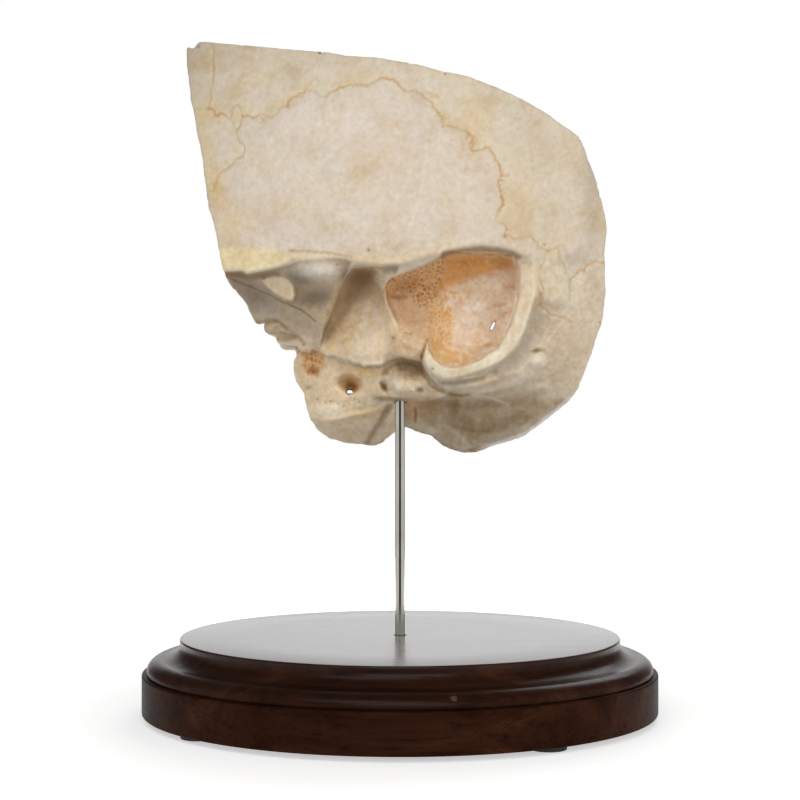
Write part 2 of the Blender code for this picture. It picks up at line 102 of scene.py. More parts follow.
def line_distance(points, reach=FAR):
    """Distance from an open line, no more than the reach."""
    near = plan(reach)
    for (x1, y1), (x2, y2) in zip(points, points[1:]):
        cut = window((min(x1, x2) - reach, min(y1, y2) - reach),
                     (max(x1, x2) + reach, max(y1, y2) + reach))
        dx, dy = x2 - x1, y2 - y1
        px, py = COLUMN[cut[0]] - x1, ROW[:, cut[1]] - y1
        along = np.clip((px * dx + py * dy) / max(dx * dx + dy * dy, 1e-9), 0.0, 1.0)
        near[cut] = np.minimum(near[cut], np.hypot(px - along * dx, py - along * dy))
    return near


def inside(points):
    """True within a closed outline, by counting its edges to the left."""
    odd = np.zeros(PLAN_COUNT, bool)
    for (x1, y1), (x2, y2) in zip(points, points[1:] + points[:1]):
        if y1 == y2:
            continue
        rows = (ROW[0] > min(y1, y2)) & (ROW[0] <= max(y1, y2))
        crossing = x1 + (ROW[:, rows] - y1) * (x2 - x1) / (y2 - y1)
        odd[:, rows] ^= COLUMN > crossing
    return odd


def region(points, reach=FAR):
    """Signed distance from a closed outline, below zero inside it."""
    near = line_distance(points + points[:1], reach)
    return np.where(inside(points), -near, near)


def rough_region(points, size=8.0, push=1.1, seed=700):
    """Signed distance from an outline whose edge is uneven, as broken or worn bone is."""
    return region(points) + push * clouds(size, seed, 2)


def ease(value):
    value = np.clip(value, 0.0, 1.0)
    return value * value * (3.0 - 2.0 * value)


def past(values, start, width):
    """0 before the start, rising to 1 over the width; a width below zero turns it round."""
    return ease((values - start) / width)


def blend(first, second, share):
    return first * (1.0 - share) + second * share


def fill(signed, width=2.0):
    """1 inside a region and 0 outside, with an edge as wide as the width."""
    return ease(0.5 - signed / width)


def spot(column, row, wide, high, angle=0.0):
    """A smooth hill of height 1 with an oval foot, turned by an angle in degrees."""
    turn = math.radians(angle)
    dx, dy = COLUMN - column, ROW - row
    u = (dx * math.cos(turn) + dy * math.sin(turn)) / wide
    v = (dy * math.cos(turn) - dx * math.sin(turn)) / high
    return np.clip(1.0 - u * u - v * v, 0.0, 1.0) ** 2


def stroke(points, width):
    """A smooth ridge of height 1 along a line."""
    return np.clip(1.0 - (line_distance(points, width) / width) ** 2, 0.0, 1.0) ** 2


def enlarge(coarse, columns, rows):
    """Smoothly interpolate a small array at fractional places along both of its axes."""
    def along(values, places):
        first = np.clip(places.astype(int), 0, len(values) - 2)
        share = ease(places - first)[:, None]
        return blend(values[first], values[first + 1], share)
    return along(along(coarse, columns).T, rows).T.astype(np.float32)


def noise(size, seed, stretch=(1.0, 1.0)):
    """Smooth random hills of about the size, from -1 to 1."""
    columns = np.arange(PLAN_COUNT[0]) * PLAN_STEP / (size * stretch[0])
    rows = np.arange(PLAN_COUNT[1]) * PLAN_STEP / (size * stretch[1])
    random = np.random.default_rng(seed)
    lattice = random.uniform(-1.0, 1.0, (int(columns[-1]) + 3, int(rows[-1]) + 3))
    return enlarge(lattice, columns, rows)


def clouds(size, seed, octaves=4, stretch=(1.0, 1.0)):
    """Random hills with finer ones on them."""
    total = plan()
    for octave in range(octaves):
        total += noise(size / 2 ** octave, seed + octave, stretch) * 0.55 ** octave
    return total


def blur(values, radius):
    """Average over a square, twice, so that the result is round enough."""
    for _ in range(2):
        for axis in (0, 1):
            reach = max(1, int(radius / PLAN_STEP))
            pad = [(0, 0), (0, 0)]
            pad[axis] = (reach + 1, reach)
            total = np.cumsum(np.pad(values, pad, mode="edge"), axis=axis, dtype=np.float64)
            width = 2 * reach + 1
            upper = np.take(total, range(width, total.shape[axis]), axis=axis)
            lower = np.take(total, range(0, total.shape[axis] - width), axis=axis)
            values = ((upper - lower) / width).astype(np.float32)
    return values


def membrane(points):
    """The least bent surface through points (column, row, value), over the whole plan."""
    places = np.array([(c, r) for c, r, _ in points], float) / 100.0
    values = np.array([v for _, _, v in points], float)

    def bend(square):
        return 0.5 * square * np.log(square + 1e-12)

    count = len(points)
    gaps = ((places[:, None] - places[None]) ** 2).sum(2)
    flat = np.hstack([np.ones((count, 1)), places])
    matrix = np.block([[bend(gaps) + 1e-4 * np.eye(count), flat], [flat.T, np.zeros((3, 3))]])
    weights = np.linalg.solve(matrix, np.concatenate([values, np.zeros(3)]))
    step = 4.0
    columns = np.arange(0.0, PLAN_COUNT[0] * PLAN_STEP + 2 * step, step) + PLAN_LEFT
    rows = np.arange(0.0, PLAN_COUNT[1] * PLAN_STEP + 2 * step, step) + PLAN_TOP
    grid = np.stack(np.meshgrid(columns, rows, indexing="ij"), -1) / 100.0
    total = weights[count] + grid @ weights[count + 1:]
    for place, weight in zip(places, weights):
        total += weight * bend(((grid - place) ** 2).sum(-1))
    return linear(total, np.arange(PLAN_COUNT[0]) * PLAN_STEP / step,
                  np.arange(PLAN_COUNT[1]) * PLAN_STEP / step)


def corner_of(values, columns, rows):
    """The first corner of the cell that holds each place, and how far into it the place is."""
    columns = np.clip(columns, 0.0, values.shape[0] - 1.001)
    rows = np.clip(rows, 0.0, values.shape[1] - 1.001)
    i, j = columns.astype(int), rows.astype(int)
    return i, j, columns - i, rows - j


def linear(values, columns, rows):
    """Straight interpolation of a 2-D array where columns and rows of fractional places meet."""
    i, j, u, v = corner_of(values, columns, rows)
    u, v = u[:, None].astype(np.float32), v[None, :].astype(np.float32)
    near, far = values[i], values[i + 1]
    return blend(blend(near[:, j], far[:, j], u), blend(near[:, j + 1], far[:, j + 1], u), v)


def picked(values, columns, rows):
    """What a plan says at scattered places."""
    i, j, u, v = corner_of(values, columns, rows)
    if values.ndim == 3:
        u, v = u[..., None], v[..., None]
    return blend(blend(values[i, j], values[i + 1, j], u),
                 blend(values[i, j + 1], values[i + 1, j + 1], u), v)


def plan_columns(x, y):
    """Where the plan shows a place, as fractional indices along its columns."""
    return (AXIS_COLUMN + x * FOCAL_UNITS / (CAMERA_DISTANCE + y) - PLAN_LEFT) / PLAN_STEP


def plan_rows(z, y):
    row = AXIS_ROW - (z - CAMERA_HEIGHT) * FOCAL_UNITS / (CAMERA_DISTANCE + y)
    return (row - PLAN_TOP) / PLAN_STEP


def at_slice(values, y):
    """What a plan says for every place in the block's slice at depth y."""
    return linear(values, plan_columns(AXES[0], y), plan_rows(AXES[2], y))


# Solid shapes, as signed distances that are below zero inside

def smooth_min(a, b, soft):
    blend = np.maximum(soft - np.abs(a - b), 0.0) / soft
    return np.minimum(a, b) - blend * blend * soft * 0.25


def smooth_max(a, b, soft):
    return -smooth_min(-a, -b, soft)


def ball(centre, radii):
    def distance(x, y, z):
        u, v, w = x - centre[0], y - centre[1], z - centre[2]
        near = np.sqrt((u / radii[0]) ** 2 + (v / radii[1]) ** 2 + (w / radii[2]) ** 2)
        slope = np.sqrt((u / radii[0] ** 2) ** 2 + (v / radii[1] ** 2) ** 2
                        + (w / radii[2] ** 2) ** 2)
        return near * (near - 1.0) / np.maximum(slope, 1e-6)
    return distance, np.subtract(centre, radii), np.add(centre, radii)


def bar(start, end, first, last=None):
    """A rod with round ends, that may taper."""
    last = first if last is None else last
    start, end = np.array(start, float), np.array(end, float)
    way = end - start

    def distance(x, y, z):
        u, v, w = x - start[0], y - start[1], z - start[2]
        along = np.clip((u * way[0] + v * way[1] + w * way[2]) / (way @ way), 0.0, 1.0)
        gap = np.sqrt((u - along * way[0]) ** 2 + (v - along * way[1]) ** 2
                      + (w - along * way[2]) ** 2)
        return gap - first - along * (last - first)
    reach = max(first, last)
    return distance, np.minimum(start, end) - reach, np.maximum(start, end) + reach


def change(block, shape, soft, rule):
    """Join a shape to the block, or cut it from it, within the shape's own box."""
    distance, low, high = shape
    margin = soft + 3 * VOXEL
    first = np.clip(((low - margin - LOW) / VOXEL).astype(int), 0, COUNT)
    last = np.clip(((high + margin - LOW) / VOXEL).astype(int) + 1, 0, COUNT)
    cut = tuple(slice(a, b) for a, b in zip(first, last))
    value = distance(X[cut[0]], Y[:, cut[1]], Z[:, :, cut[2]]).astype(np.float32)
    block[cut] = rule(block[cut], value, soft)


def add(block, shape, soft=3.0):
    change(block, shape, soft, smooth_min)


def carve(block, shape, soft=1.5):
    change(block, shape, soft, lambda a, b, s: smooth_max(a, -b, s))


def profile(first, second, points):
    """Signed distance from an outline, on a grid of two axes."""
    a, b = first[:, None], second[None, :]
    near = np.full((len(first), len(second)), 1e9, np.float32)
    odd = np.zeros(near.shape, bool)
    for (x1, y1), (x2, y2) in zip(points, points[1:] + points[:1]):
        dx, dy = x2 - x1, y2 - y1
        along = np.clip(((a - x1) * dx + (b - y1) * dy) / (dx * dx + dy * dy), 0.0, 1.0)
        near = np.minimum(near, np.hypot(a - x1 - along * dx, b - y1 - along * dy))
        if dy:
            odd ^= ((b > min(y1, y2)) & (b <= max(y1, y2))) & (a > x1 + (b - y1) * dx / dy)
    return np.where(odd, -near, near)


# The block of bone before its outer side is carved

WALL = 5.2
VAULT = ball((6.0, 40.0, 130.0), (91.0, 67.0, 80.0))
UNDERSIDE = [(-110.0, 74.7), (1.2, 74.7), (8.7, 72.2), (11.5, 69.8), (16.0, 67.6)] + [
    (12.0 + 46.6 * math.cos(math.radians(a)), 112.0 + 45.5 * math.sin(math.radians(a)))
    for a in range(-75, 1, 5)] + [(58.6, 400.0), (-110.0, 400.0)]
TEMPLE_SECTION = [
    (-90.0, 117.5), (-21.0, 117.5), (-14.0, 113.0), (0.0, 103.0), (10.0, 97.0), (138.0, 86.5),
    (138.0, 0.0), (-90.0, 0.0),
]
NUCHAL_SECTION = [(-65.0, 126.5), (24.0, 66.5), (24.0, 0.0), (-65.0, 0.0)]
TEMPLE_BACK = -2.0
BASE_LUMPS = [
    ball((18.0, -10.0, 102.0), (22.0, 13.5, 18.0)),
    ball((-6.0, 14.0, 96.5), (13.0, 13.0, 11.5)),
    ball((-21.0, 28.0, 93.4), (10.0, 11.0, 9.0)),
    ball((1.0, 6.0, 90.0), (12.0, 13.0, 8.0)),
    ball((-9.0, 16.0, 85.0), (12.0, 12.0, 9.0)),
    ball((-14.0, 23.0, 77.5), (11.0, 7.5, 8.0)),
    ball((-9.0, -2.0, 99.0), (11.0, 6.0, 9.0)),
    bar((-10.0, 38.0, 82.0), (-33.0, 38.0, 97.0), 6.5),
    bar((13.0, -8.0, 101.0), (-26.0, 33.0, 94.0), 10.0, 6.5),
    bar((15.0, -8.0, 110.0), (-24.0, 32.0, 100.0), 5.0, 2.5),
]
INNER_LUMPS = [
    ball((18.0, -14.0, 104.5), (22.0, 17.0, 20.0)),
    ball((6.0, -7.0, 105.0), (17.0, 18.0, 18.0)),
    ball((4.0, 10.0, 110.0), (7.0, 6.0, 6.5)),
]
OUTER_LUMPS = [
    bar((-44.0, -12.0, 117.5), (-5.0, -24.0, 117.5), 3.6),
    bar((-15.0, -18.0, 113.0), (-19.5, -2.0, 99.0), 4.0),
]
INNER_CUTS = [
    ball((6.0, 41.0, 77.5), (17.0, 13.0, 33.0)),
    bar((-4.0, 34.0, 101.0), (3.0, 17.0, 101.5), 2.6, 2.0),
    bar((14.0, 24.0, 90.0), (12.0, 14.0, 84.0), 3.6, 3.0),
    bar((-24.0, 12.0, 112.0), (-25.0, 8.0, 92.0), 1.9, 1.6),
    bar((-19.5, 8.0, 112.0), (-20.0, 4.0, 92.0), 1.1, 0.9),
    bar((17.0, 20.0, 106.0), (14.0, 14.0, 107.0), 1.6, 0.6),
]


def block_noise(size, seed):
    """Smooth random hills through the whole block, from -1 to 1."""
    random = np.random.default_rng(seed)
    places = [(axis - axis[0]) / size for axis in AXES]
    values = random.uniform(-1.0, 1.0, [int(place[-1]) + 3 for place in places])
    for axis, place in enumerate(places):
        first = place.astype(int)
        share = ease(place - first)
        shape = [1, 1, 1]
        shape[axis] = len(share)
        share = share.reshape(shape).astype(np.float32)
        values = values.astype(np.float32)
        values = blend(np.take(values, first, axis), np.take(values, first + 1, axis), share)
    return values


def bone_block():
    """The whole specimen with its brain space, and with its outer side still plain."""
    case = VAULT[0](X, Y, Z).astype(np.float32)
    case = smooth_max(case, profile(AXES[0], AXES[2], UNDERSIDE)[:, None, :], 5.0)
    temple = profile(AXES[1], AXES[2], TEMPLE_SECTION)[None]
    case = smooth_max(case, -np.maximum(temple, X - TEMPLE_BACK), 5.0)
    nuchal = profile(AXES[1], AXES[2], NUCHAL_SECTION)[None]
    case = smooth_max(case, -np.maximum(nuchal, TEMPLE_BACK - X), 6.0)
    space = case + WALL
    solid = np.full(tuple(COUNT), 50.0, np.float32)
    for lump in BASE_LUMPS + INNER_LUMPS:
        add(solid, lump, 3.0)
    space = smooth_max(space, -solid, 4.0)
    for lump in BASE_LUMPS + OUTER_LUMPS:
        add(case, lump, 4.0)
    block = smooth_max(case, -space, 1.2)
    for hole in INNER_CUTS:
        carve(block, hole, 1.2)
    return block


# front_depth looks at one in this many places of the plan, each way, and then spreads the
# depths this often over the places beside the bone
COARSE, SPREADS = 4, 60


def front_depth(block):
    """Depth of the first bone that every place of the plan meets, or else of that beside it."""
    columns, rows = COLUMN[::COARSE, 0], ROW[0, ::COARSE]
    first = np.full((len(columns), len(rows)), np.nan, np.float32)
    before = np.full(first.shape, 5.0, np.float32)
    for index, y in enumerate(AXES[1]):
        scale = (CAMERA_DISTANCE + y) / FOCAL_UNITS
        x = (columns - AXIS_COLUMN) * scale
        z = CAMERA_HEIGHT + (AXIS_ROW - rows) * scale
        here = linear(block[:, index], (x - LOW[0]) / VOXEL, (z - LOW[2]) / VOXEL)
        meets = (here < 0.0) & np.isnan(first)
        share = before / np.maximum(before - here, 1e-6)
        first = np.where(meets, y + VOXEL * (np.clip(share, 0.0, 1.0) - 1.0), first)
        before = here
    known = ~np.isnan(first)
    values, weight = np.where(known, first, 0.0), known.astype(np.float32)
    for _ in range(SPREADS):
        total, count = values * weight, weight
        for axis in (0, 1):
            total = total + np.roll(total, 1, axis) + np.roll(total, -1, axis)
            count = count + np.roll(count, 1, axis) + np.roll(count, -1, axis)
        values = np.where(known, first, total / np.maximum(count, 1e-6))
        weight = np.maximum(weight, (count > 0.0) * 0.5)
    return linear(values, np.arange(PLAN_COUNT[0]) / COARSE, np.arange(PLAN_COUNT[1]) / COARSE)


# Outline and seams in the plan (columns and rows)

OUTLINE = [
    (187.5, 49), (190, 47.6), (194, 48.8), (196.8, 45.2), (199.5, 42), (205, 41.4), (215, 42.3),
    (254, 45.6), (288, 48.8), (330, 52), (346, 55.2), (378, 57.2), (419, 64), (440, 70), (469, 76),
    (500, 88), (525, 100), (546, 112), (562, 124), (574, 132), (580, 137), (585, 147.5),
    (589, 160), (594, 172), (598, 184), (601, 196), (604, 208), (607, 220), (607.5, 232),
    (606, 244), (605, 256), (606, 268), (605.5, 280), (606, 292), (605, 304), (604, 316),
    (601, 328), (596, 340), (593, 352), (588, 364), (584, 376), (579, 388), (571, 400), (557, 412),
    (541, 424), (526, 436), (505, 443), (489, 448), (477, 453.6), (466, 453.8), (457, 451.6),
    (444, 446), (432, 436), (418, 432), (405, 427), (400, 428), (395, 433), (384, 442), (374, 446),
    (350, 443.6), (331, 439), (318, 430), (311, 420), (307, 407), (304, 393), (296, 381),
    (294, 371), (294, 361), (297, 354), (295, 348), (281, 348), (277, 340), (276, 335), (268, 334),
    (264, 330), (265, 322), (256, 324), (251, 315), (247, 305), (240, 295), (231, 286), (226, 278),
    (223, 268), (220, 256), (218, 244), (216, 232), (213, 220), (209, 208), (207, 196), (206, 184),
    (204, 172), (203, 160), (201, 148), (198, 136), (196, 124), (194, 112), (191, 100), (190, 88),
    (188.5, 76), (187, 64),
]
# Every seam: how far its teeth stand out, how brown it is, and its points
SEAM_TABLE = {
    "coronal": (1.2, 0.7, [(213.5, 30), (213.2, 43), (213.9, 51), (213.5, 60), (213.9, 72),
        (212.8, 84.5), (210.5, 89.7), (211.3, 98), (209.5, 103.4), (209, 108.7)]),
    "front_join": (0.0, 0.1, [(170, 112), (209, 108.7)]),
    "pterion": (0.9, 0.8, [(209, 108.7), (213.7, 109.7), (216.8, 116), (219, 116.6), (221, 113),
        (225.3, 114.5), (228.4, 118.2), (231.6, 121.3), (231.6, 112.9), (233.7, 107.6),
        (237.9, 104.7), (241, 108.7), (242.8, 116)]),
    "wing_upper": (0.9, 0.55, [(242.8, 116), (240.5, 125.5), (235.8, 131.8), (237.9, 136),
        (240, 142.4), (244.2, 145.5), (245.3, 149.7), (243.2, 157.1), (235.8, 159.2),
        (231.6, 165.5), (225.3, 169.7), (220, 174), (216.8, 180.3), (213, 190), (180, 205)]),
    "wing_lower": (0.4, 0.12, [(200, 262), (228, 275), (255, 287), (273, 298), (286, 303),
        (302, 310), (316, 321), (324, 327), (323, 338), (314, 350), (298, 351), (285, 372)]),
    "squamous": (1.5, 0.65, [(242.8, 116), (248.4, 115), (253.7, 119.2), (260, 115.5),
        (267.4, 116), (272.1, 118.2), (275.8, 114), (279, 107.6), (285.3, 105.5), (288.4, 107.6),
        (287.9, 100.3), (294.7, 97.1), (301, 92.9), (308.4, 89.7), (314.7, 90.8), (320, 96.6),
        (324.2, 97.1), (330, 92.9), (342, 87), (361, 84), (369, 85), (377, 80), (384, 78),
        (395, 80), (405, 91), (416, 90), (430, 101), (443, 118), (443, 126), (458, 128),
        (473, 136), (473, 151), (488, 148), (499, 163), (503, 176), (499, 181), (502, 196),
        (503.4, 205.4), (498, 213.4), (496.3, 220.5), (506, 225), (506.5, 229.5), (506, 234.8),
        (511.4, 235.7), (518.6, 239.3), (525.7, 237.5), (529.3, 236.2), (533.8, 239.3),
        (537.3, 242.4), (539, 248.7), (543.6, 249.1), (548, 251.8)]),
    "sutural_top": (0.7, 0.5, [(548, 251.8), (552.5, 250), (558.8, 247.3), (559.2, 251.3)]),
    "sutural_front": (0.8, 0.35, [(548, 251.8), (546.3, 257.1), (543.6, 263.4), (540, 271.4),
        (540.4, 278.6), (542.2, 285.7), (544.5, 291), (541, 298), (539, 305.4), (543.6, 309),
        (551, 315)]),
    "sutural_foot": (0.5, 0.15, [(551, 315), (558.8, 316), (565.9, 316.5)]),
    "sutural_back": (0.8, 0.4, [(559.2, 251.3), (561.4, 262.5), (565, 263.4), (565.9, 271.4),
        (569.5, 277.7), (570.8, 280.4)]),
    "sutural_heel": (0.6, 0.05, [(570.8, 280.4), (569.5, 288.4), (570.8, 294.6), (570.4, 305.4),
        (567.7, 312.5), (565.9, 316.5)]),
    "lambdoid": (1.2, 1.0, [(570.8, 280.4), (575.7, 275.9), (579.3, 271.4), (584.6, 269.6),
        (588.2, 266), (592.7, 262.5), (597, 261.6), (601.6, 263.4), (604.7, 261.6), (625, 258)]),
    "mastoid_seam": (0.5, 0.0, [(551, 315), (547, 324), (542, 335), (538, 348), (531, 362),
        (520, 378), (503, 389), (486, 394), (470.5, 395.6), (456.5, 394), (443.8, 390),
        (432.6, 383), (424, 376), (416, 368), (405, 376), (392, 389), (378, 394), (362, 399),
        (345, 402), (325, 401), (308, 396), (280, 392)]),
}


def wiggle(points, height, seed):
    """The line cut into short steps, each shifted a little to the side."""
    if not height:
        return points
    random = np.random.default_rng(seed)
    result = [points[0]]
    for (x1, y1), (x2, y2) in zip(points, points[1:]):
        length = math.hypot(x2 - x1, y2 - y1)
        steps = max(1, int(length / 1.8))
        for step in range(1, steps + 1):
            share = step / steps
            push = random.uniform(-height, height) if step < steps else 0.0
            result.append((x1 + (x2 - x1) * share - (y2 - y1) / length * push,
                           y1 + (y2 - y1) * share + (x2 - x1) / length * push))
    return result


SEAMS = {name: wiggle(points, height, max(number, 1))
         for number, (name, (height, share, points)) in enumerate(SEAM_TABLE.items())}


def around(*names):
    """A closed outline from seams named in turn; a minus sign turns one round."""
    points = []
    for name in names:
        if isinstance(name, tuple):
            points.append(name)
            continue
        line = SEAMS[name.lstrip("-")]
        line = line[::-1] if name.startswith("-") else line
        points += [p for p in line if not points or p != points[-1]]
    return points


# Every bone's outlines
BONES = {
    "frontal": [around((170, 20), "coronal", "-front_join")],
    "parietal": [around("coronal", "pterion", "squamous", "sutural_top", "sutural_back",
                        "lambdoid", (640, 20))],
    "sutural": [around("sutural_top", "sutural_back", "sutural_heel", "-sutural_foot",
                       "-sutural_front")],
    "occipital": [around("lambdoid", (640, 480), (280, 480), "-mastoid_seam", "sutural_foot",
                         "-sutural_heel")],
    "temporal": [around("squamous", "sutural_front", "mastoid_seam", "-wing_lower", (180, 262),
                        (180, 205), "-wing_upper")],
    "sphenoid": [around("front_join", "pterion", "wing_upper", (150, 205)),
                 around("wing_lower", (270, 392), (150, 392), (150, 262))],
}


# Relief of the outer side: outlines in the plan, depths in millimetres

INFRATEMPORAL = [
    (220, 272), (243, 271.5), (247, 274), (258, 273), (272, 270), (300, 262), (340, 258),
    (352, 262), (345, 277), (337, 295), (331, 313), (323, 335), (321, 346), (310, 353), (302, 352),
    (297, 346), (277, 342), (262, 330), (248, 318), (232, 295),
]
INFRATEMPORAL_DEPTHS = [
    (226, 275, -11.0), (250, 277, -9.5), (275, 273, -14.0), (300, 262, -22.3), (330, 258, -24.6),
    (348, 264, -24.4), (234, 290, -5.0), (258, 308, 1.0), (275, 300, -7.0), (262, 325, 6.0),
    (300, 291, -11.0), (300, 306, -6.5), (318, 293, -12.0), (341, 280, -18.5), (335, 298, -13.0),
    (328, 318, -8.0), (322, 336, -4.5), (310, 330, -1.5), (300, 346, 1.0), (285, 330, 3.5),
    (314, 350, -1.5), (245, 300, -2.0), (280, 345, 8.0), (318, 268, -23.6), (335, 267, -24.2),
    (318, 278, -21.8), (334, 277, -22.4), (300, 272, -20.8), (318, 285, -17.5), (333, 284, -19.0),
    (300, 281, -16.5),
]
TUBERCLE = [
    (262, 280), (268, 277), (275, 276), (283, 277), (290, 281), (294.5, 288), (296, 295),
    (294, 301), (286, 299.5), (277, 294), (268, 287),
]
SOCKET = [
    (354, 269), (371, 267.5), (377, 275), (381, 288.5), (389.5, 303), (398, 321), (396, 335),
    (393, 348), (389, 357), (383, 364), (376, 366.5), (370, 366), (365, 367.5), (360, 364),
    (354, 364.5), (350, 361), (343, 359.5), (336, 356), (328, 356), (322, 352), (321, 346),
    (323, 335), (331, 313), (337.4, 294.5), (343.5, 280),
]
SOCKET_DEPTHS = [
    (345, 281, -14.0), (360, 270, -21.0), (371, 269.5, -21.0), (357, 282, -9.5), (369, 282, -9.5),
    (379, 288, -11.0), (350, 292, -5.5), (362, 291, -5.0), (342, 310, -3.0), (333, 328, -2.0),
    (325, 344, -2.0), (362, 300, -4.5), (353, 318, -5.0), (372, 312, -8.0), (345, 335, -5.5),
    (335, 347, -4.5), (360, 335, -8.5), (380, 322, -11.0), (392, 322, -14.5), (375, 345, -11.5),
    (355, 352, -9.0), (366, 362, -10.0), (343, 357, -6.0), (382, 360, -11.5), (391, 345, -13.0),
    (387, 305, -12.5),
]
STRIP = [
    (371, 266.5), (398, 267), (394, 277), (386.5, 283), (384, 292), (388, 303), (394, 314),
    (399, 324), (396, 318), (389.5, 303), (381, 288.5), (377, 276),
]
STRIP_DEPTHS = [
    (374, 268.5, -22.5), (385, 268.5, -23.5), (396, 269, -23.5), (380, 280, -16.5),
    (385, 282, -17.5), (383, 292, -15.0), (388, 302, -14.5), (395, 316, -13.5),
]
EAR = [
    (384, 292), (386.5, 283), (394, 277), (404, 273.5), (415, 269.5), (433, 262), (443, 255),
    (446, 300), (436, 318), (430, 330), (426, 345), (423, 356), (421, 360.5), (414, 360),
    (405, 357.5), (396, 358), (389, 359), (392, 352), (396, 335), (399, 324), (394, 314),
    (388, 303),
]
EAR_DEPTHS = [
    (385, 290, -17.0), (388, 282, -18.0), (396, 276.5, -19.0), (415, 270, -21.0),
    (433, 262.5, -22.0), (392, 288, -9.5), (400, 285, -8.0), (415, 280, -10.0), (430, 273, -13.0),
    (394, 297, -7.0), (410, 297, -5.0), (425, 300, -5.5), (441, 300, -6.5), (400, 308, -8.0),
    (414, 318, -9.0), (399, 318, -12.0), (425, 322, -10.5), (410, 329, -14.5), (435, 326, -10.5),
    (398, 335, -16.0), (411, 340, -17.5), (424, 342, -17.5), (393, 350, -14.5), (405, 354, -16.0),
    (418, 356, -16.0), (440, 275, -10.0),
]
BOWL = [
    (443, 253.5), (452, 251.5), (460, 252.5), (472, 253.5), (484, 253.3), (508, 255),
    (514.4, 257.5), (519, 266), (520.5, 282.4), (518, 300.6), (510.8, 324.8), (502.3, 340.6),
    (497.4, 349), (490, 352.7), (478, 361.2), (463.5, 367.3), (453.8, 368.5), (442.9, 366),
    (434.4, 358.8), (429.5, 349), (428.3, 338), (431, 326), (438, 315), (446, 300), (440, 270),
]
BOWL_DEPTHS = [
    (445, 256, -20.0), (459, 254, -20.5), (484, 254.5, -20.0), (508, 256.5, -20.0),
    (459, 276, -9.0), (479, 276, -8.5), (495, 272, -9.5), (512, 268, -14.0), (441, 280, -9.0),
    (519, 270, -18.5), (520, 283, -18.5), (517.5, 300, -18.0), (511, 324, -17.5),
    (502, 340, -17.5), (496, 349, -17.0), (478, 360, -18.0), (463, 366.5, -18.5),
    (453, 367.5, -18.0), (443, 365, -17.0), (434.5, 358, -15.5), (430, 349, -15.0),
    (429, 338, -14.0), (440, 310, -7.0), (460, 300, -4.0), (480, 298, -3.4), (500, 298, -8.0),
    (512, 297, -13.5), (460, 325, -4.0), (480, 325, -3.0), (495, 322, -7.0), (505, 324, -13.0),
    (438, 335, -8.5), (438, 350, -9.0), (450, 352, -7.5), (470, 347, -6.5), (487, 344, -6.0),
    (496, 340, -10.0), (455, 361, -12.5), (475, 355, -12.0), (488, 350, -12.5), (510, 284, -9.5),
    (511, 275, -10.0),
]
RIM_OUTER = [
    (443, 253), (448, 252), (460, 249.5), (482, 246), (508, 249.7), (529, 258.2), (537.4, 268),
    (536, 288.5), (531, 308), (524, 332), (515.6, 346.7), (502, 360), (484, 368.5), (466, 374.5),
    (452, 378), (443, 378), (435, 374.5), (427, 366), (423, 356.4), (424.7, 345.5), (428.3, 338),
]
BOWL_FRONT = [(431, 326), (438, 315), (446, 300), (440, 270)]
UNDER_PLATE = [
    (320, 352), (328, 356), (336, 356), (343, 359.5), (350, 361), (354, 364.5), (360, 364),
    (365, 367.5), (370, 366), (376, 366.5), (383, 364), (389, 359), (386, 372), (384, 384),
    (388, 396), (398, 400), (400, 432), (395, 440), (374, 450), (345, 450), (325, 440), (305, 425),
    (298, 400), (288, 380), (290, 350), (305, 345),
]
UNDER_PLATE_DEPTHS = [
    (330, 360, 0.0), (352, 368, -2.5), (368, 371, -4.5), (381, 374, -5.0), (300, 352, 6.0),
    (296, 370, 9.0), (305, 385, 9.0), (320, 365, 2.5), (315, 380, 5.0), (330, 380, 2.0),
    (349, 376, 0.0), (366, 386, -1.0), (378, 390, -2.5), (330, 395, 3.5), (350, 399, 2.0),
    (372, 400, 0.5), (388, 402, 0.0), (312, 400, 7.5), (310, 415, 8.5), (327, 420, 6.0),
    (345, 417, 4.8), (365, 412, 3.8), (386, 405, 2.8), (318, 428, 13.0), (335, 433, 12.0),
    (350, 430, 10.0), (368, 425, 8.0), (385, 418, 6.5), (350, 441, 17.0), (332, 437, 15.0),
    (372, 441, 17.0), (393, 425, 9.0), (390, 434, 15.0), (310, 410, 8.0), (355, 407, 2.8),
]
BOSS = [
    (384, 370), (389, 360), (396, 358), (405, 357.5), (414, 360), (421, 361.5), (424, 368),
    (430, 377), (439, 386), (450, 391.5), (446, 396), (430, 400), (410, 402), (396, 401),
    (386, 396), (382, 384),
]
BOSS_DEPTHS = [
    (390, 361, -5.5), (405, 359, -5.0), (418, 363, -6.5), (387, 370, -4.0), (396, 368, -4.5),
    (406, 369, -5.5), (416, 371, -7.5), (404, 380, -8.2), (394, 384, -7.5), (414, 386, -8.5),
    (424, 378, -10.5), (430, 387, -9.5), (400, 392, -7.5), (410, 396, -5.0), (424, 396, -5.5),
    (440, 390, -8.0), (448, 393, -6.0), (436, 396.5, -4.5), (424, 400, -2.5), (410, 401, -1.5),
    (390, 394, -3.5), (398, 399, -4.0), (386, 384, -3.0),
]
FACET_LINE = [
    (313, 418.5), (320, 421), (328.5, 421.5), (341, 419.5), (351, 416.2), (363, 414),
    (375.7, 411.6), (385.9, 405.6), (391, 401),
]
FACET_GROOVE = [(391, 406), (388, 411), (382, 419), (376, 428), (370, 438), (367, 446)]
MASTOID_GROOVE = [(444, 384), (454, 383.5), (468, 381.5), (482, 378), (494, 373)]
SUTURE_LIP = [(470, 396), (485, 392), (500, 387), (515, 382), (529, 378)]
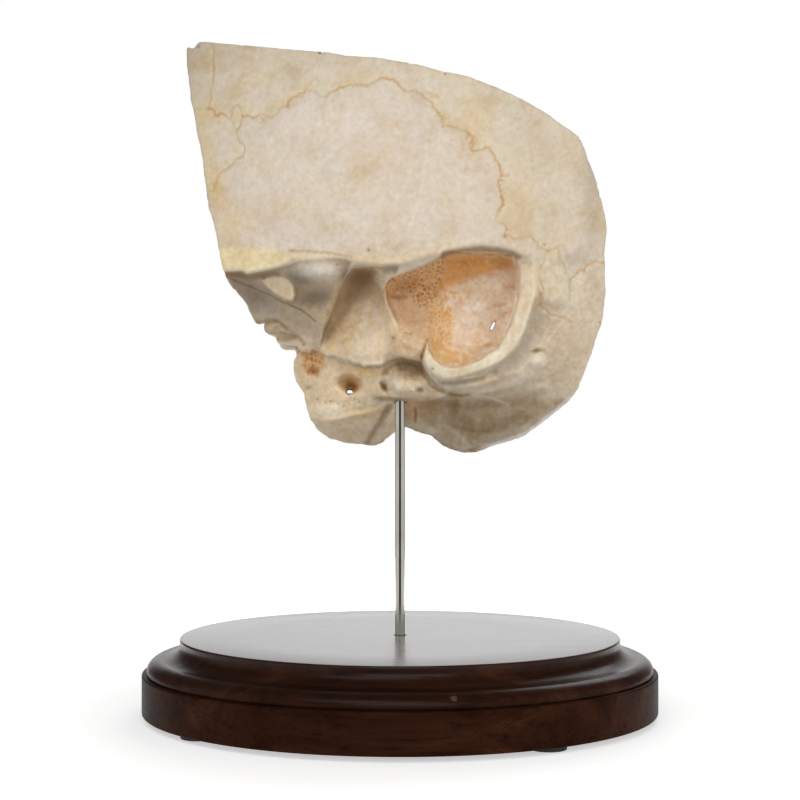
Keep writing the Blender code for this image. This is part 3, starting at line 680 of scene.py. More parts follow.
NUCHAL_LINES = [
    [(438, 398), (447, 415), (458, 432), (470, 445)],
    [(462, 400), (485, 398), (503, 402), (522, 398), (545, 388)],
    [(452, 452), (470, 448), (484, 440), (497, 433), (510, 428), (530, 424)],
    [(505, 372), (520, 385), (540, 393), (560, 390)],
]
SLIT = [(491.6, 329.4), (493, 326), (494.8, 322.6)]
SLIT_HALF_WIDTH = 0.95
EAR_EDGE = [(428, 340), (426, 346), (423.5, 353), (422, 360)]
# Depth of a place where the bone is open from side to side (mm)
RIGHT_THROUGH = 80.0
CRACKS = [[(503.5, 286), (512, 287), (517, 291), (518, 297)], [(488, 309), (497, 306), (506, 304)],
          [(497, 320), (503, 315), (511, 311)]]
FOLDS = [[(440, 350), (450, 353), (462, 358), (470, 363)], [(452, 345), (465, 349), (478, 355)],
         [(462, 339), (476, 343), (486, 341)], [(470, 333), (482, 336), (492, 335)],
         [(446, 357), (455, 361), (463, 365)]]
PITS = [
    (401.7, 369, 1.3), (411.5, 376, 1.2), (406.5, 332.7, 1.6), (411, 333.5, 1.1),
    (393.8, 338, 2.0), (331, 401.4, 1.2), (343.8, 406.5, 1.2), (360, 402.7, 1.0), (350, 405, 0.9),
    (338, 404, 0.9), (326, 403, 0.8), (355, 399, 0.8), (369, 250, 1.8), (338, 265, 1.4),
    (433, 369, 1.6), (318, 399, 1.0), (300, 392, 1.0), (505, 236, 1.4), (545, 245, 1.2),
    (585, 271, 1.3), (199, 46.5, 1.6),
]
CAROTID_HOLE = [
    (347.2, 390.4), (351.2, 389.6), (354.6, 392.6), (350.6, 393.4), (347.6, 394.4),
]


BASE_PARTS = ((UNDER_PLATE, UNDER_PLATE_DEPTHS), (BOSS, BOSS_DEPTHS),
              (INFRATEMPORAL, INFRATEMPORAL_DEPTHS), (SOCKET, SOCKET_DEPTHS),
              (STRIP, STRIP_DEPTHS), (EAR, EAR_DEPTHS), (BOWL, BOWL_DEPTHS))


PATCHES = ([(303, 343), (326, 338), (332, 356), (318, 359), (303, 355)],
           [(367, 271), (373, 267.5), (382, 269), (381, 282), (371, 277)])


def sink(depth, outline, depths, edge=1.5):
    """Lay a surface through known depths into the relief, within an outline."""
    return blend(depth, membrane(depths), fill(rough_region(outline), edge))


def bed(depth):
    """One soft surface under all the parts of the base, so that no joint between them gapes."""
    near = np.minimum.reduce([region(outline) for outline, depths in BASE_PARTS]
                             + [region(outline) for outline in PATCHES])
    known = [point for outline, depths in BASE_PARTS for point in depths]
    return blend(depth, membrane(known), fill(near, 2.0))


# The size of the cells of each kind, in the plan, and the seed of their pattern
OPEN_CELLS, FINE_CELLS, POROUS_CELLS = (4.0, 50), (3.6, 51), (4.2, 52)


def cell_walls(size, seed, jitter=0.9):
    """For a random honeycomb of about the size: 0 on its walls, rising to 1 inside its cells."""
    warp = noise(size * 1.7, seed + 500), noise(size * 1.7, seed + 501)
    columns = np.maximum((COLUMN - PLAN_LEFT) / size + 0.45 * warp[0], 0.0)
    rows = np.maximum((ROW - PLAN_TOP) / size + 0.45 * warp[1], 0.0)
    wide, high = int(columns.max()) + 3, int(rows.max()) + 3
    centre = np.random.default_rng(seed).uniform(-jitter / 2, jitter / 2, (2, wide, high))
    first, second = plan(9.0), plan(9.0)
    i, j = np.broadcast_arrays(columns.astype(int), rows.astype(int))
    for di in (-1, 0, 1):
        for dj in (-1, 0, 1):
            a, b = np.clip(i + di, 0, wide - 1), np.clip(j + dj, 0, high - 1)
            gap = np.hypot(columns - a - 0.5 - centre[0][a, b], rows - b - 0.5 - centre[1][a, b])
            second = np.minimum(second, np.maximum(first, gap))
            first = np.minimum(first, gap)
    return np.clip((second - first) * 1.6, 0.0, 1.0)


def vault_relief(depth):
    """The temple's bar and crest, and the slight hollows and lines of the vault."""
    bar_face = [(218, 249.5), (250, 248), (292, 249), (296, 256), (288, 263), (272, 268.5),
                (258, 272), (247, 273.5), (243, 270.5), (226, 271.5), (218, 271.5)]
    face = membrane([(222, 248, -13.5), (222, 271, -15.5), (258, 248, -18.0), (258, 272, -19.5),
                     (292, 250, -22.0), (290, 264, -22.5)])
    depth = blend(depth, np.minimum(face, depth), fill(region(bar_face), 5.0))
    crest = [(292, 256), (320, 258), (345, 259), (372, 262), (395, 263), (415, 261), (432, 255),
             (446, 249), (465, 244), (490, 241), (515, 245), (530, 252)]
    depth -= 1.3 * stroke(crest, 16.0)
    depth += 0.5 * stroke([(300, 247), (330, 249), (360, 252), (390, 252), (420, 246)], 12.0)
    depth += 0.8 * spot(330, 165, 95, 45, -8) - 0.5 * spot(300, 215, 60, 26, 5)
    depth += 0.35 * clouds(46.0, 20, 3) + 0.10 * clouds(14.0, 30, 3)
    return depth


def base_relief(depth):
    """The parts under the temple, from the jaw's socket back to the drilled ear."""
    depth = bed(depth)
    depth = sink(depth, UNDER_PLATE, UNDER_PLATE_DEPTHS, 5.0)
    depth = sink(depth, BOSS, BOSS_DEPTHS, 7.0)
    under_crest = past(COLUMN, 285.0, 30.0) * past(ROW, 290.0, -12.0)
    depth = sink(depth, INFRATEMPORAL, INFRATEMPORAL_DEPTHS, 2.5 + 15.0 * under_crest)
    facet = membrane([(264, 280, -12.0), (280, 277, -13.5), (294, 285, -14.5),
                      (276, 292, -11.0), (292, 298, -13.0)])
    depth = blend(depth, np.minimum(facet, depth), fill(region(TUBERCLE), 4.0))
    soft = past(ROW, 340.0, -25.0) * (0.5 + 0.5 * past(COLUMN, 366.0, -12.0))
    depth = sink(depth, SOCKET, SOCKET_DEPTHS, 2.0 + 12.0 * soft)
    depth = sink(depth, STRIP, STRIP_DEPTHS, 6.0)
    band = region(RIM_OUTER + BOWL_FRONT, 32.0)
    wide = 1.2 + 2.6 * past(ROW, 365.0, -45.0)
    bevel = np.clip(1.0 - region(BOWL, 18.0) / 18.0, 0.0, 1.0) ** 1.6
    depth += wide * bevel * fill(band, 3.0)
    slope = np.clip(band, 0.0, 32.0)
    fall = slope / 8.0 * np.exp(1.0 - slope / 8.0) * ease((32.0 - slope) / 16.0)
    depth += 2.7 * past(ROW, 272.0, 60.0) * fall
    depth = sink(depth, EAR, EAR_DEPTHS, 3.0)
    depth = sink(depth, BOWL, BOWL_DEPTHS, 3.0)
    socket_back = [(384, 326), (398, 322), (403, 336), (400, 352), (390, 362), (380, 360),
                   (379, 342)]
    return blend(depth, blur(depth, 3.5), fill(region(socket_back), 6.0))


def base_details(depth):
    """Ridges, grooves, pits and holes of the base."""
    depth += 1.3 * stroke(MASTOID_GROOVE, 5.5)
    depth -= 0.7 * stroke(SUTURE_LIP, 5.0)
    for index, line in enumerate(NUCHAL_LINES):
        depth -= (0.9, 0.7, 1.2, 0.6)[index] * stroke(line, 9.0)
    depth -= 0.9 * stroke(FACET_LINE, 5.0)
    depth += 1.6 * stroke(FACET_GROOVE, 6.0)
    depth += 5.5 * spot(350, 384, 15, 11, 10) + 2.5 * spot(352, 388, 8, 6)
    depth += 1.6 * spot(537, 351, 7, 3, -12) - 1.5 * spot(537, 362, 14, 9, -15)
    depth += 2.4 * spot(314, 371, 7, 6) + 1.0 * spot(309, 388, 9, 3, 25)
    depth += 2.2 * spot(385, 388, 4, 7, -35) + 1.3 * spot(421, 391, 6, 4)
    depth += 1.6 * spot(490, 345.5, 13, 5, -6) - 1.2 * spot(486, 352, 12, 5, -30)
    depth -= 2.0 * spot(270, 328, 9, 6) + 1.8 * spot(290, 342, 9, 5)
    depth += 1.6 * stroke([(261, 323), (270, 320), (280, 322), (287, 329)], 3.2)
    depth += 1.4 * stroke([(282, 333), (290, 335), (298, 337), (304, 344)], 3.0)
    for column, row, wide in PITS:
        depth += 1.1 * spot(column, row, wide * 1.4, wide * 1.4)
    for line in CRACKS:
        depth += 0.45 * stroke(wiggle(line, 0.9, 40), 1.8)
    for line in FOLDS:
        depth -= 0.7 * stroke(wiggle(line, 0.7, 41), 4.0)
    depth += 1.6 * stroke(EAR_EDGE, 2.0)
    depth += 1.0 * stroke([(415.8, 409), (416.5, 415), (415.5, 422)], 2.5)
    return depth


def bone_texture(depth, zones):
    """Air cells, porous breaks and the grain of each kind of surface."""
    open_cells, fine_cells, porous = zones["open_cells"], zones["fine_cells"], zones["porous"]
    depth += open_cells * (1.25 * ease(cell_walls(*OPEN_CELLS) * 1.3 - 0.2) - 0.5)
    depth += fine_cells * (0.6 * ease(cell_walls(*FINE_CELLS) * 1.4 - 0.45) - 0.1)
    depth += porous * (1.7 * ease(cell_walls(*POROUS_CELLS) - 0.15) - 0.6)
    rough = zones["bowl"] + zones["ear"]
    depth += np.clip(rough, 0, 1) * (0.22 * clouds(7.0, 60, 3) + 0.4 * noise(16.0, 64))
    depth += zones["knobbly"] * (0.3 * clouds(3.4, 68, 2) + 0.3 * noise(7.0, 69))
    worked = past(ROW, 258.0, 20.0) * (1.0 - np.clip(rough, 0, 1))
    worked = worked * (1.0 + 1.2 * past(ROW, 396.0, 8.0) * past(COLUMN, 410.0, 12.0))
    depth += worked * (0.22 * clouds(11.0, 72, 3) + 0.12 * clouds(5.0, 74, 2))
    depth += zones["plate"] * 0.14 * clouds(6.0, 70, 3, (0.6, 1.6))
    depth += 0.05 * clouds(5.0, 80, 3)
    return depth


def zones_of_plan():
    """Where each kind of surface lies on the outer side, from 0 to 1."""
    bowl, ear = fill(region(BOWL), 2.0), fill(region(EAR), 2.0)
    rough_edge = 2.0 * clouds(9.0, 90, 2)
    cells = [(382, 296), (386, 281), (396, 275), (415, 268), (436, 260), (446, 257), (444, 275),
             (436, 284), (436, 302), (428, 310), (418, 306), (410, 292), (396, 292)]
    band = [(434, 262), (452, 250), (512, 251), (517, 268), (500, 270.5), (488, 273), (470, 279),
            (455, 284), (438, 292)]
    fine = [(430, 305), (440, 300), (452, 308), (455, 325), (452, 340), (440, 345), (431, 350),
            (428, 330)]
    knobbly = [(396, 326), (428, 322), (430, 332), (425, 350), (420, 360), (394, 356), (396, 340)]
    inner = np.maximum(bowl, ear)
    return {
        "bowl": bowl, "ear": ear,
        "open_cells": fill(region(cells) + rough_edge, 8.0) * inner,
        "band": fill(region(band) + 0.8 * rough_edge, 11.0) * inner,
        "fine_cells": np.maximum(fill(region(fine) + rough_edge, 12.0),
                                 0.35 * fill(region(band) + rough_edge, 8.0)) * inner,
        "knobbly": np.maximum(fill(region(knobbly), 8.0), fill(region(BOSS), 8.0)),
        "porous": fill(region([(303, 350), (316, 350), (325, 354), (326, 364), (318, 374),
                               (309, 374), (304, 364)]) + rough_edge, 6.0),
        "plate": fill(region(SOCKET), 3.0),
    }


# Medial side, laid out in the same plan as if the bone were clear

VESSEL_GROOVES = [
    ([(352, 318), (342, 300), (328, 275), (310, 240), (292, 200), (278, 150), (268, 100),
      (262, 50)], 5.0, 0.9),
    ([(310, 240), (300, 190), (303, 140), (310, 90), (312, 50)], 3.5, 0.6),
    ([(328, 275), (350, 245), (385, 220), (425, 190), (470, 165), (520, 130)], 4.0, 0.7),
    ([(385, 220), (400, 180), (408, 130), (405, 80)], 3.0, 0.5),
    ([(425, 190), (460, 200), (510, 205), (560, 190)], 3.0, 0.5),
    ([(292, 200), (262, 180), (235, 150), (218, 110)], 3.0, 0.5),
]
SINUS_GROOVE = [
    (606, 286), (575, 276), (545, 268), (522, 272), (505, 290), (494, 315), (480, 340), (462, 360),
    (446, 372),
]


def inner_relief():
    """Depth of what vessels and folds have worn into the inner side (mm)."""
    worn = plan()
    for line, width, deep in VESSEL_GROOVES:
        worn += deep * stroke(wiggle(line, 1.2, int(width * 10 + deep * 100)), width)
    worn += 2.2 * stroke(SINUS_GROOVE, 22.0)
    worn += 0.8 * np.clip(clouds(52.0, 200, 2), -1.0, 1.0) + 0.1 * clouds(12.0, 210, 3)
    return worn


def edge_of_cut():
    """Signed distance from the specimen's outline in the plan, with a slightly rough saw cut."""
    signed = region(OUTLINE)
    lower = past(ROW, 268.0, 20.0)
    return signed + 0.35 * clouds(5.0, 220, 3) * (0.5 + lower)


# The depths between which the outer side lies (mm)
NEAREST, FARTHEST = -26.0, 24.0
# How much the outer table may add behind the plain block, and how soft its corners are (mm)
TABLE_DEPTH, SOFT_EDGE = 3.5, 0.5
# The sawn face's spongy bone: how deep it goes and how thick the hard tables over it are (mm)
SPONGE_DEPTH, TABLE_THICKNESS = 1.3, 1.15
# The share of places with a pore, and the pores' least and greatest half width (mm)
PORE_SHARE, PORE_SIZES = 0.030, (0.35, 0.85)


def saw_line(depth, cut):
    """Signed distance from the saw cut (mm) over the block's two upright axes.

    The saw went straight back from the outline that the outer side shows, so the plan is read
    where it shows the outer side, whatever lies behind.
    """
    front = np.zeros((COUNT[0], COUNT[2]), np.float32)
    for _ in range(4):
        columns = plan_columns(AXES[0][:, None], front)
        rows = plan_rows(AXES[2][None, :], front)
        front = np.clip(picked(depth, columns, rows), NEAREST, FARTHEST)
    scale = (CAMERA_DISTANCE + front) / FOCAL_UNITS
    return picked(cut, columns, rows) * scale


def compose(block, depth, worn, saw):
    """The block with its outer relief, its inner wear, its outline and its sawn middle plane."""
    slope = np.hypot(*np.gradient(depth, PLAN_STEP * UNIT))
    steep = np.sqrt(1.0 + np.clip(slope, 0.0, 7.0) ** 2).astype(np.float32)
    texture = block_noise(5.0, 300) * 0.12 + block_noise(2.2, 301) * 0.06
    skin = front_depth(block)
    tables = np.empty_like(block)
    for index, y in enumerate(AXES[1]):
        here = block[:, index]
        front = at_slice(depth, y)
        plain = at_slice(skin, y)
        inner = ease((y - np.maximum(front, plain) - 2.0) / 2.5)
        here = here + (at_slice(worn, y) + texture[:, index]) * inner
        outer = (front - y) / at_slice(steep, y)
        table = np.maximum(outer, y - np.maximum(plain, front) - TABLE_DEPTH)
        carved = smooth_max(smooth_min(here, table, 0.6), outer, SOFT_EDGE)
        tables[:, index] = -carved
        middle = y - MIDDLE_PLANE + 0.15 * texture[:, index]
        block[:, index] = smooth_max(smooth_max(carved, saw, SOFT_EDGE), middle, SOFT_EDGE)
    return tables


def drill(block, tables, saw):
    """Spongy bone between the hard tables wherever the specimen was sawn, and the rod's bore."""
    random = np.random.default_rng(310)
    edge = saw[:, None]
    sawn = (edge > -SPONGE_DEPTH) | ((Y > MIDDLE_PLANE - SPONGE_DEPTH) & (edge < 0.0))
    places = np.argwhere(sawn & (block < 0.0) & (tables > TABLE_THICKNESS))
    chosen = places[random.random(len(places)) < PORE_SHARE * (VOXEL / FINE_VOXEL) ** 3]
    for place in chosen:
        centre = LOW + (place + random.uniform(-0.5, 0.5, 3)) * VOXEL
        carve(block, ball(centre, random.uniform(*PORE_SIZES, 3)), 0.15)
    carve(block, bar((0.0, 0.0, 60.0), (0.0, 0.0, BORE_TOP - BORE_RADIUS), BORE_RADIUS), 0.2)


def loose_parts(count, sides):
    """For each vertex, the lowest vertex that it hangs together with."""
    label = np.arange(count)
    while True:
        low = np.minimum(label[sides[:, 0]], label[sides[:, 1]])
        new = label.copy()
        np.minimum.at(new, sides[:, 0], low)
        np.minimum.at(new, sides[:, 1], low)
        new = new[new]
        if (new == label).all():
            return label
        label = new


def skin_mesh(name, field, low, smallest=600):
    """A mesh on the field's zero surface, with crumbs left out."""
    grid = openvdb.FloatGrid(3.0)
    grid.copyFromArray(np.ascontiguousarray(np.clip(field, -3.0, 3.0), np.float32))
    points, triangles, quads = grid.convertToPolygons(isovalue=0.0, adaptivity=0.0)
    quads = quads.astype(int)
    if len(triangles):
        triangles = triangles.astype(int)
        quads = np.vstack([quads, np.hstack([triangles, triangles[:, -1:]])])
    label = loose_parts(len(points), np.vstack([quads[:, :2], quads[:, 1:3], quads[:, 2:]]))
    found, size = np.unique(label, return_counts=True)
    kept = np.isin(label, found[size >= min(smallest, size.max())])
    quads = quads[kept[quads[:, 0]]]
    number = np.cumsum(kept) - 1
    points = (points[kept] * VOXEL + low) * MM
    mesh = bpy.data.meshes.new(name)
    faces = [list(dict.fromkeys(face)) for face in number[quads][:, ::-1].tolist()]
    mesh.from_pydata(points.tolist(), [], [face for face in faces if len(face) > 2])
    mesh.shade_smooth()
    return mesh


def depth_within(mesh, plans):
    """The points of a bone in mm, their places in the plan, and how deep they lie."""
    places = np.empty(len(mesh.vertices) * 3, np.float32)
    mesh.vertices.foreach_get("co", places)
    places = places.reshape(-1, 3) / MM
    columns, rows = plan_columns(places[:, 0], places[:, 1]), plan_rows(places[:, 2], places[:, 1])
    return places, columns, rows, places[:, 1] - picked(plans["depth"], columns, rows)


# Deeper than this below the outer side a bone may be thinned out (mm)
THINNED_DEPTH = 1.5


def thin_out(mesh, plans):
    """Fewer, larger triangles away from the outer side, where a bone has too many."""
    triangles = sum(len(face.vertices) - 2 for face in mesh.polygons)
    if triangles < MOST_TRIANGLES:
        return mesh
    deep = np.flatnonzero(depth_within(mesh, plans)[3] > THINNED_DEPTH)
    piece = bpy.data.objects.new(mesh.name, mesh)
    bpy.context.scene.collection.objects.link(piece)
    piece.vertex_groups.new(name="inner").add(deep.tolist(), 1.0, "REPLACE")
    fewer = piece.modifiers.new("fewer", "DECIMATE")
    fewer.ratio = MOST_TRIANGLES / triangles
    fewer.vertex_group = "inner"
    held = bpy.context.evaluated_depsgraph_get()
    thinned = bpy.data.meshes.new_from_object(piece.evaluated_get(held))
    bpy.data.objects.remove(piece)
    thinned.shade_smooth()
    return thinned


def bone_field(block, outlines, gap=-0.34, reach=3.0):
    """The part of the block within one bone's outlines, and its lowest corner."""
    signed = np.minimum.reduce([region(outline) for outline in outlines])
    points = np.array([p for outline in outlines for p in outline])
    low, high = points.min(0), points.max(0)
    x = np.outer((low[0] - AXIS_COLUMN, high[0] - AXIS_COLUMN), UNIT_RANGE)
    z = CAMERA_HEIGHT + np.outer((AXIS_ROW - high[1], AXIS_ROW - low[1]), UNIT_RANGE)
    sides = [slice(max(0, int((places.min() - reach - LOW[axis]) / VOXEL)),
                   min(COUNT[axis], int((places.max() + reach - LOW[axis]) / VOXEL)))
             for axis, places in ((0, x), (2, z))]
    part = block[sides[0], :, sides[1]].copy()
    for index, y in enumerate(AXES[1]):
        part[:, index] = np.maximum(part[:, index], at_slice(signed, y)[tuple(sides)] * UNIT + gap)
    return part, LOW + np.array((sides[0].start, 0, sides[1].start)) * VOXEL


# Colours

def paint(red, green, blue):
    """A colour as a screen shows it, turned to light."""
    return np.array([(value / 255.0) ** 2.2 for value in (red, green, blue)], np.float32)


IVORY, ROSY, STRAW = paint(229, 215, 194), paint(229, 214, 199), paint(232, 208, 164)
TAN, ASH, UMBER = paint(208, 184, 150), paint(188, 172, 150), paint(150, 122, 92)
AMBER, RUST, HONEY = paint(226, 148, 52), paint(152, 84, 30), paint(240, 200, 132)
BLUSH, STAIN_AND_SHADE, SHADE = paint(252, 238, 226), paint(210, 158, 88), paint(172, 152, 126)
DEEP_SHADE, GLUE = paint(118, 104, 90), paint(224, 172, 100)
PALE, GOLD, SLATE = paint(242, 231, 210), paint(236, 168, 60), paint(152, 138, 124)
PINK, EARTH, BARK = paint(226, 172, 140), paint(176, 150, 112), paint(122, 92, 62)

# What is painted on the outer side: column, row, half width, half height, turn, colour, share. Some
# spots are painted shade or painted highlights, as noted beside them
SPOTS = [
    (205, 112, 26, 18, 0, STRAW, 0.7), (206, 150, 13, 52, -8, STRAW, 0.7),
    (217, 188, 16, 34, -12, STRAW, 0.8), (228, 226, 15, 30, -6, STRAW, 0.7),
    (244, 222, 20, 24, 0, STRAW, 0.35), (300, 232, 60, 12, 3, ROSY, 0.8),
    (290, 205, 40, 24, 0, STRAW, 0.15), (350, 190, 50, 22, 0, STRAW, 0.2),
    (330, 120, 60, 30, 0, BLUSH, 0.35), (420, 130, 30, 34, 0, ROSY, 0.7),
    (420, 95, 14, 12, 30, ASH, 0.35), (455, 76, 50, 10, 14, STRAW, 0.35),
    (480, 120, 40, 26, 45, STRAW, 0.45), (520, 190, 26, 50, 0, STRAW, 0.35),
    # The second spot is painted shade along the right edge, where the vault turns away from the
    # light
    (545, 150, 50, 30, 35, TAN, 0.3), (592, 200, 18, 90, 0, ASH, 0.5),
    (575, 258, 30, 14, -20, ASH, 0.6), (592, 290, 16, 50, 0, TAN, 0.35),
    # The first spot is a painted highlight on the bulge near the right edge
    (582, 288, 10, 22, 0, PALE, 0.45), (556, 285, 12, 26, 8, STRAW, 0.4),
    (556, 306, 14, 10, 0, SHADE, 0.5), (548, 324, 16, 24, 10, SHADE, 0.45),
    # The second spot is a painted highlight on the bump below the mastoid foramen
    (545, 312, 4, 4, 0, PALE, 0.8), (541, 360, 14, 9, -12, PALE, 0.85),
    (570, 350, 40, 50, 20, TAN, 0.4), (500, 408, 60, 14, -8, TAN, 0.3),
    # Painted shade on the downward-facing surface under the temple: both spots here and both on the
    # next line
    (258, 296, 34, 20, 28, DEEP_SHADE, 0.75), (240, 284, 24, 16, 20, SLATE, 0.6),
    (300, 278, 26, 12, 8, DEEP_SHADE, 0.8), (316, 298, 30, 15, -8, paint(118, 104, 84), 0.8),
    # The first spot is painted light on the bulge below the crest, which lies in shade
    (320, 270, 34, 15, 3, paint(232, 223, 208), 0.9), (336, 282, 10, 14, 25, IVORY, 0.4),
    (318, 316, 22, 12, 30, STRAW, 0.25), (290, 320, 24, 16, 0, ASH, 0.7),
    (306, 340, 16, 12, 0, IVORY, 0.45), (275, 328, 12, 8, 20, TAN, 0.7),
    (287, 341, 12, 7, 0, EARTH, 0.7), (258, 316, 10, 8, 0, ASH, 0.6),
    # Painted shadow in the jaw's socket, its dark top under the crest and its sloping left wall:
    # these five spots
    (361, 278, 26, 22, -8, paint(122, 94, 68), 0.92), (362, 276, 22, 13, 0, BARK, 0.8),
    (362, 292, 26, 18, 0, UMBER, 0.45), (346, 300, 13, 30, 28, EARTH, 0.6),
    (328, 332, 9, 22, 28, EARTH, 0.6),
    (368, 345, 30, 22, -20, PALE, 0.5), (372, 318, 18, 26, -14, BLUSH, 0.45),
    (312, 362, 14, 14, 0, STAIN_AND_SHADE, 0.8), (314, 371, 7, 5, 0, RUST, 0.9),
    # The second spot paints the warm orange of the shadow band under the plate's edge: painted
    # shade
    (302, 352, 8, 6, 0, AMBER, 0.6), (365, 372, 24, 8, 6, HONEY, 0.75),
    (352, 384, 16, 11, 8, STAIN_AND_SHADE, 0.95), (352, 388, 9, 6, 0, RUST, 0.5),
    (308, 388, 10, 3, -28, EARTH, 0.6), (330, 410, 30, 9, 6, PALE, 0.7),
    # The second spot lightens the condyle's downward face: painted light in place of light thrown
    # up from below
    (368, 404, 28, 6, -6, PALE, 0.7), (348, 430, 42, 14, -8, paint(232, 208, 174), 0.85),
    # The second spot is painted shade in the groove between the condyle's lobes
    (312, 428, 10, 10, 0, IVORY, 0.4), (382, 424, 5, 20, 30, SLATE, 0.4),
    # The first spot is painted shade in the hollow above the boss
    (402, 366, 17, 9, 6, BARK, 0.6), (418, 372, 8, 12, 20, SHADE, 0.7),
    (398, 382, 11, 9, 0, IVORY, 0.6), (420, 390, 6, 5, 0, SLATE, 0.8),
    # The second spot and the one on the next line are painted shadow where the rod enters the bone
    (384, 386, 4, 9, -35, BARK, 0.7), (391, 399, 26, 4, 5, BARK, 0.75),
    (401, 401, 11, 4, 0, paint(74, 62, 50), 0.9),
    (410, 406, 14, 16, 0, paint(206, 160, 108), 0.75), (432, 405, 28, 12, 25, STAIN_AND_SHADE, 0.5),
    # The second spot is painted shade on the underside below the temporal's lip
    (420, 424, 13, 10, 20, TAN, 0.9), (450, 412, 50, 18, 10, BARK, 0.35),
    (478, 424, 46, 24, -10, EARTH, 0.4), (520, 415, 30, 18, -30, SHADE, 0.6),
    (433, 430, 8, 5, 0, IVORY, 0.6),
]
# Lines painted there: points, width, colour, share. Some lines are painted shadows or painted
# highlights, as noted beside them
LINES = [
    # Painted shadow under the lower edge of the temple's bar
    ([(226, 274), (243, 275.5), (248, 277), (262, 275.5), (278, 274)], 5.0, BARK, 0.6),
    # Painted shadow under the crest along the top of the drilled bowl: these three lines
    ([(443, 256), (450, 252), (462, 250), (480, 249), (500, 250), (512, 253), (519, 257)], 4.5,
     paint(150, 130, 110), 0.7),
    ([(446, 253), (470, 251), (496, 251.5), (512, 256)], 3.0, UMBER, 0.6),
    ([(516.5, 258), (516.5, 269)], 2.4, UMBER, 0.45),
    # Painted shade under the crest above the ear canal
    ([(386, 270), (400, 268), (420, 261), (436, 256)], 7.0, SLATE, 0.6),
    ([(290, 250.5), (312, 251.5), (335, 253.5), (352, 257)], 2.4, EARTH, 0.5),
    ([(340, 283), (332, 303), (325, 326)], 4.5, STRAW, 0.7),
    # Painted shade on the socket's sloping left wall
    ([(356, 288), (349, 300), (341, 313), (334, 324), (328, 334)], 13.0, paint(150, 122, 94),
     0.75),
    ([(356, 297), (347, 309), (340, 319)], 3.0, paint(170, 116, 66), 0.45),
    ([(232, 279), (245, 285), (262, 291), (286, 303), (302, 310), (316, 321)], 1.5,
     paint(112, 88, 66), 0.75),
    # Painted highlight along the crest of the bowl's rim
    ([(534, 268), (534.5, 290), (529.5, 309), (522.5, 331), (513.5, 347), (501, 359), (482, 368),
      (465, 374), (450, 377), (438, 375)], 3.2, paint(240, 228, 198), 0.75),
    # Painted shadow along the top of the jaw's socket, under the crest
    ([(344, 277), (350, 271), (360, 268), (372, 269), (377, 274)], 4.0, UMBER, 0.6),
    ([(378, 278), (382, 288), (387, 299), (392, 309), (397, 321)], 7.0, PALE, 0.25),
    ([(345, 359), (358, 363), (370, 365), (382, 363), (390, 357)], 4.0, PALE, 0.7),
    # Painted shade in the hollow above the boss
    ([(384, 374), (392, 366), (402, 362.5), (412, 364), (418, 368)], 3.0, BARK, 0.5),
    ([(421, 362), (425, 377), (433, 387), (445, 393), (460, 395.5), (472, 394.5)], 2.6, RUST,
     0.6),
    # Painted sheen along the smooth ridge after the seam
    ([(472, 395), (486, 397), (498, 400), (508, 404)], 2.6, PALE, 0.8),
    # Painted shade in the groove below the bowl, then painted highlight streaks on its lower edge
    ([(440, 383), (455, 383.5), (470, 381.5), (484, 378)], 4.0, SLATE, 0.6),
    ([(466, 378), (480, 376), (494, 372)], 2.4, PALE, 0.7),
    # Painted shade on the slope that falls away outside the bowl's rim
    ([(500, 371), (512, 363), (524, 350), (533, 333), (539, 316), (542, 304)], 12.0,
     paint(158, 142, 122), 0.55),
    ([(455, 389), (475, 388), (497, 382), (515, 376)], 6.0, EARTH, 0.5),
    # Painted shadow under the temporal's lip
    ([(430, 403), (470, 405), (510, 401), (540, 393)], 9.0, BARK, 0.4),
    ([(452, 419), (475, 429), (500, 428), (525, 417)], 11.0, BARK, 0.35),
    # Painted highlight along the lower right edge, and a fainter one further left
    ([(472, 454), (489, 446.5), (505, 441.5), (526, 434), (541, 422.5), (557, 410), (570, 399)],
     3.6, paint(238, 230, 228), 0.9),
    ([(452, 452), (462, 453), (472, 449)], 4.0, PALE, 0.5),
    ([(446, 425), (458, 434), (470, 446)], 3.0, IVORY, 0.4),
    # Painted shade in the groove between the condyle's lobes, then a painted highlight on its edge
    ([(390, 408), (382, 420), (374, 432), (368, 443)], 5.0, UMBER, 0.55),
    ([(396, 404), (393, 416), (387, 430), (378, 441)], 4.0, PALE, 0.4),
    ([(448, 424), (468, 430), (490, 432)], 3.0, BARK, 0.3),
    ([(415.5, 408), (416.3, 415), (415.5, 421)], 2.4, RUST, 0.8),
    ([(427.5, 145), (424, 175), (420, 198), (414, 216), (408, 234)], 2.0, PALE, 0.5),
    ([(590, 212), (580, 222), (566, 228), (556, 234)], 2.5, PALE, 0.4),
    ([(547, 341), (556, 330), (564, 320)], 2.5, PALE, 0.35),
    ([(559, 317), (565, 318), (571, 321)], 2.0, STAIN_AND_SHADE, 0.6),
    ([(540, 292), (543, 300), (541, 305)], 3.0, EARTH, 0.6),
    # Painted shade in the small dent above that bump
    ([(532, 351.5), (537, 350), (545, 350)], 2.6, EARTH, 0.7),
]
# Orange places where light comes through the drilled bone: column, row, width
GLOWS = [
    (459, 265, 3.5), (465, 268, 3.0), (478, 262, 3.0), (484, 269, 4.0), (492, 266, 2.6),
    (472, 275, 2.8), (461, 283, 2.4), (455, 271, 3.0), (469, 262, 3.0), (487, 262, 2.6),
    (447, 272, 2.2), (450, 280, 2.2), (474, 270, 2.4), (448.5, 314.5, 3.0), (450, 309, 2.2),
    (443, 322, 2.0), (437, 326, 1.8), (445, 331, 1.8), (435.5, 334, 1.6), (450, 321, 2.2),
    (440, 337, 1.6), (433, 341, 1.6), (447, 341, 1.6), (440, 346, 1.8), (435, 311, 2.2),
    (441, 305, 1.8),
]
